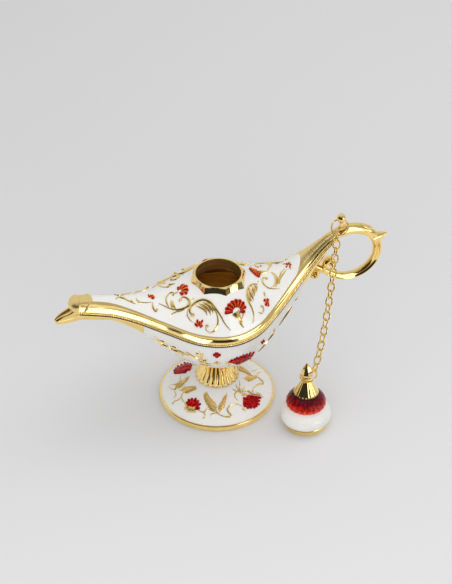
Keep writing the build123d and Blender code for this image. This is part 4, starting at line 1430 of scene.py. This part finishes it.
# Studio
def floor_sockets(place):
    """Pale, with a dark end of the table in front that only the pieces mirror."""
    table_end = place.part("Y").fit(*FLOOR_END, 0.0, 1.0) * (1 - place.ray("Camera"))
    tone = place.ray("Glossy").mix(place.noise(*FLOOR_NOISE).ramp(*FLOOR_TONES), FLOOR_MIRRORED)
    return {"Base Color": table_end.mix(tone, FLOOR_DARK), "Roughness": FLOOR_ROUGH}


def make_floor():
    bpy.ops.mesh.primitive_plane_add(size=FLOOR_SIZE)
    floor = bpy.context.object
    floor.name = "studio_floor"
    floor.data.materials.append(finish("pale_floor", floor_sockets))


def make_world():
    """Even light for the pieces; a dark room with a tall window at the right for what they mirror."""
    world = bpy.data.worlds.new("studio")
    bpy.context.scene.world = world
    world.use_nodes = True
    tree = world.node_tree
    way = Shade(tree).node("TexCoord", output="Generated")
    rise = way.part("Z")
    turn = way.sum("ARCTAN2", way.part("X"), -1 * way.part("Y")) * math.degrees(1)

    def patch(angles, rises):
        return turn.between(*angles) * rise.between(*rises)

    dark = patch(*ROOM_DARK)
    window = patch(*LOW_WINDOW) + patch(*TALL_WINDOW)
    pale = (turn * turn).fit(ROOM_PALE[0] ** 2, ROOM_PALE[1] ** 2, 0.0, 1.0)
    mirrored = (ROOM_LEVEL + PALE_LEVEL * pale) * (1 - dark) + DARK_LEVEL * dark + WINDOW_LEVEL * window
    seen, glossy = way.ray("Camera"), way.ray("Glossy")
    level = SOFT_LEVEL * (1 - glossy) + mirrored * glossy
    level = level * (1 - seen) + SEEN_LEVEL * seen
    level.feed(tree.nodes["Background"], {"Color": level})


def make_lamp(name, at, size, watts, aim=LAMP_AIM, roll=0.0):
    """Soft light that doesn't show in what mirrors it."""
    bpy.ops.object.light_add(type="AREA", location=at)
    light = bpy.context.object
    light.name = name
    light.data.shape = "RECTANGLE"
    light.data.size, light.data.size_y = size
    light.data.energy = watts
    facing = (Vector(aim) - Vector(at)).to_track_quat("-Z", "Y")
    light.rotation_euler = (facing @ Quaternion((0, 0, 1), math.radians(roll))).to_euler()
    light.visible_camera = False
    light.visible_glossy = False
    return light


def make_card(name, at, aim, size, level, roll, piece):
    """Reflector of an even brightness that only shows in one piece."""
    card = make_lamp(name, at, size, level * math.pi * size[0] * size[1], aim, roll)
    card.visible_glossy = True
    card.visible_diffuse = False
    group = bpy.data.collections.new(name)
    group.objects.link(piece)
    card.light_linking.receiver_collection = group


def make_camera():
    data = bpy.data.cameras.new("camera")
    data.sensor_fit = "VERTICAL"
    data.sensor_height = SENSOR_MM
    data.lens = SENSOR_MM * FOCAL_PX / FRAME_H_PX
    camera = bpy.data.objects.new("camera", data)
    bpy.context.scene.collection.objects.link(camera)
    turn = Matrix((CAMERA_RIGHT, CAMERA_UP, CAMERA_BACK)).transposed().to_4x4()
    camera.matrix_world = Matrix.Translation(CAMERA_AT * MM) @ turn
    bpy.context.scene.camera = camera


# Lamps: place, size, watts. Reflectors: place, aim, size, brightness, roll, piece that mirrors them.
LAMPS = {
    "soft_top": ((0.15, -0.1, 1.2), (1.2, 1.2), 2.7),
    "soft_front": ((-0.25, -1.0, 0.65), (0.9, 0.7), 3.9),
    "soft_right": ((0.6, 0.1, 0.7), (0.6, 0.6), 1.2),
    "soft_left": ((-0.8, -0.5, 0.5), (0.7, 0.7), 1.0),
}
CARDS = {
    "card_spout": ((-0.079, -0.11, 0.058), (-0.079, 0, 0.058), (0.075, 0.117), 2.8, -15, cover),
    "card_spout_top": ((-0.044, -0.111, 0.182), (-0.044, 0, 0.182), (0.132, 0.122), 0.45, 0, cover),
    "card_arm": ((0.066, -0.12, 0.182), (0.045, -0.01, 0.085), (0.085, 0.066), 3.6, 0, cover),
    "card_loop": ((0.112, -0.097, 0.16), (0.08, -0.002, 0.16), (0.06, 0.18), 2.2, 0, loop),
    "card_beak": ((-0.195, -0.11, 0.14), (-0.195, 0, 0.14), (0.17, 0.2), 0.75, 0, beak),
}

make_floor()
make_world()
for name, form in LAMPS.items():
    make_lamp(name, *form)
for name, form in CARDS.items():
    make_card(name, *form)
make_camera()
bpy.context.scene.view_settings.view_transform = "Standard"
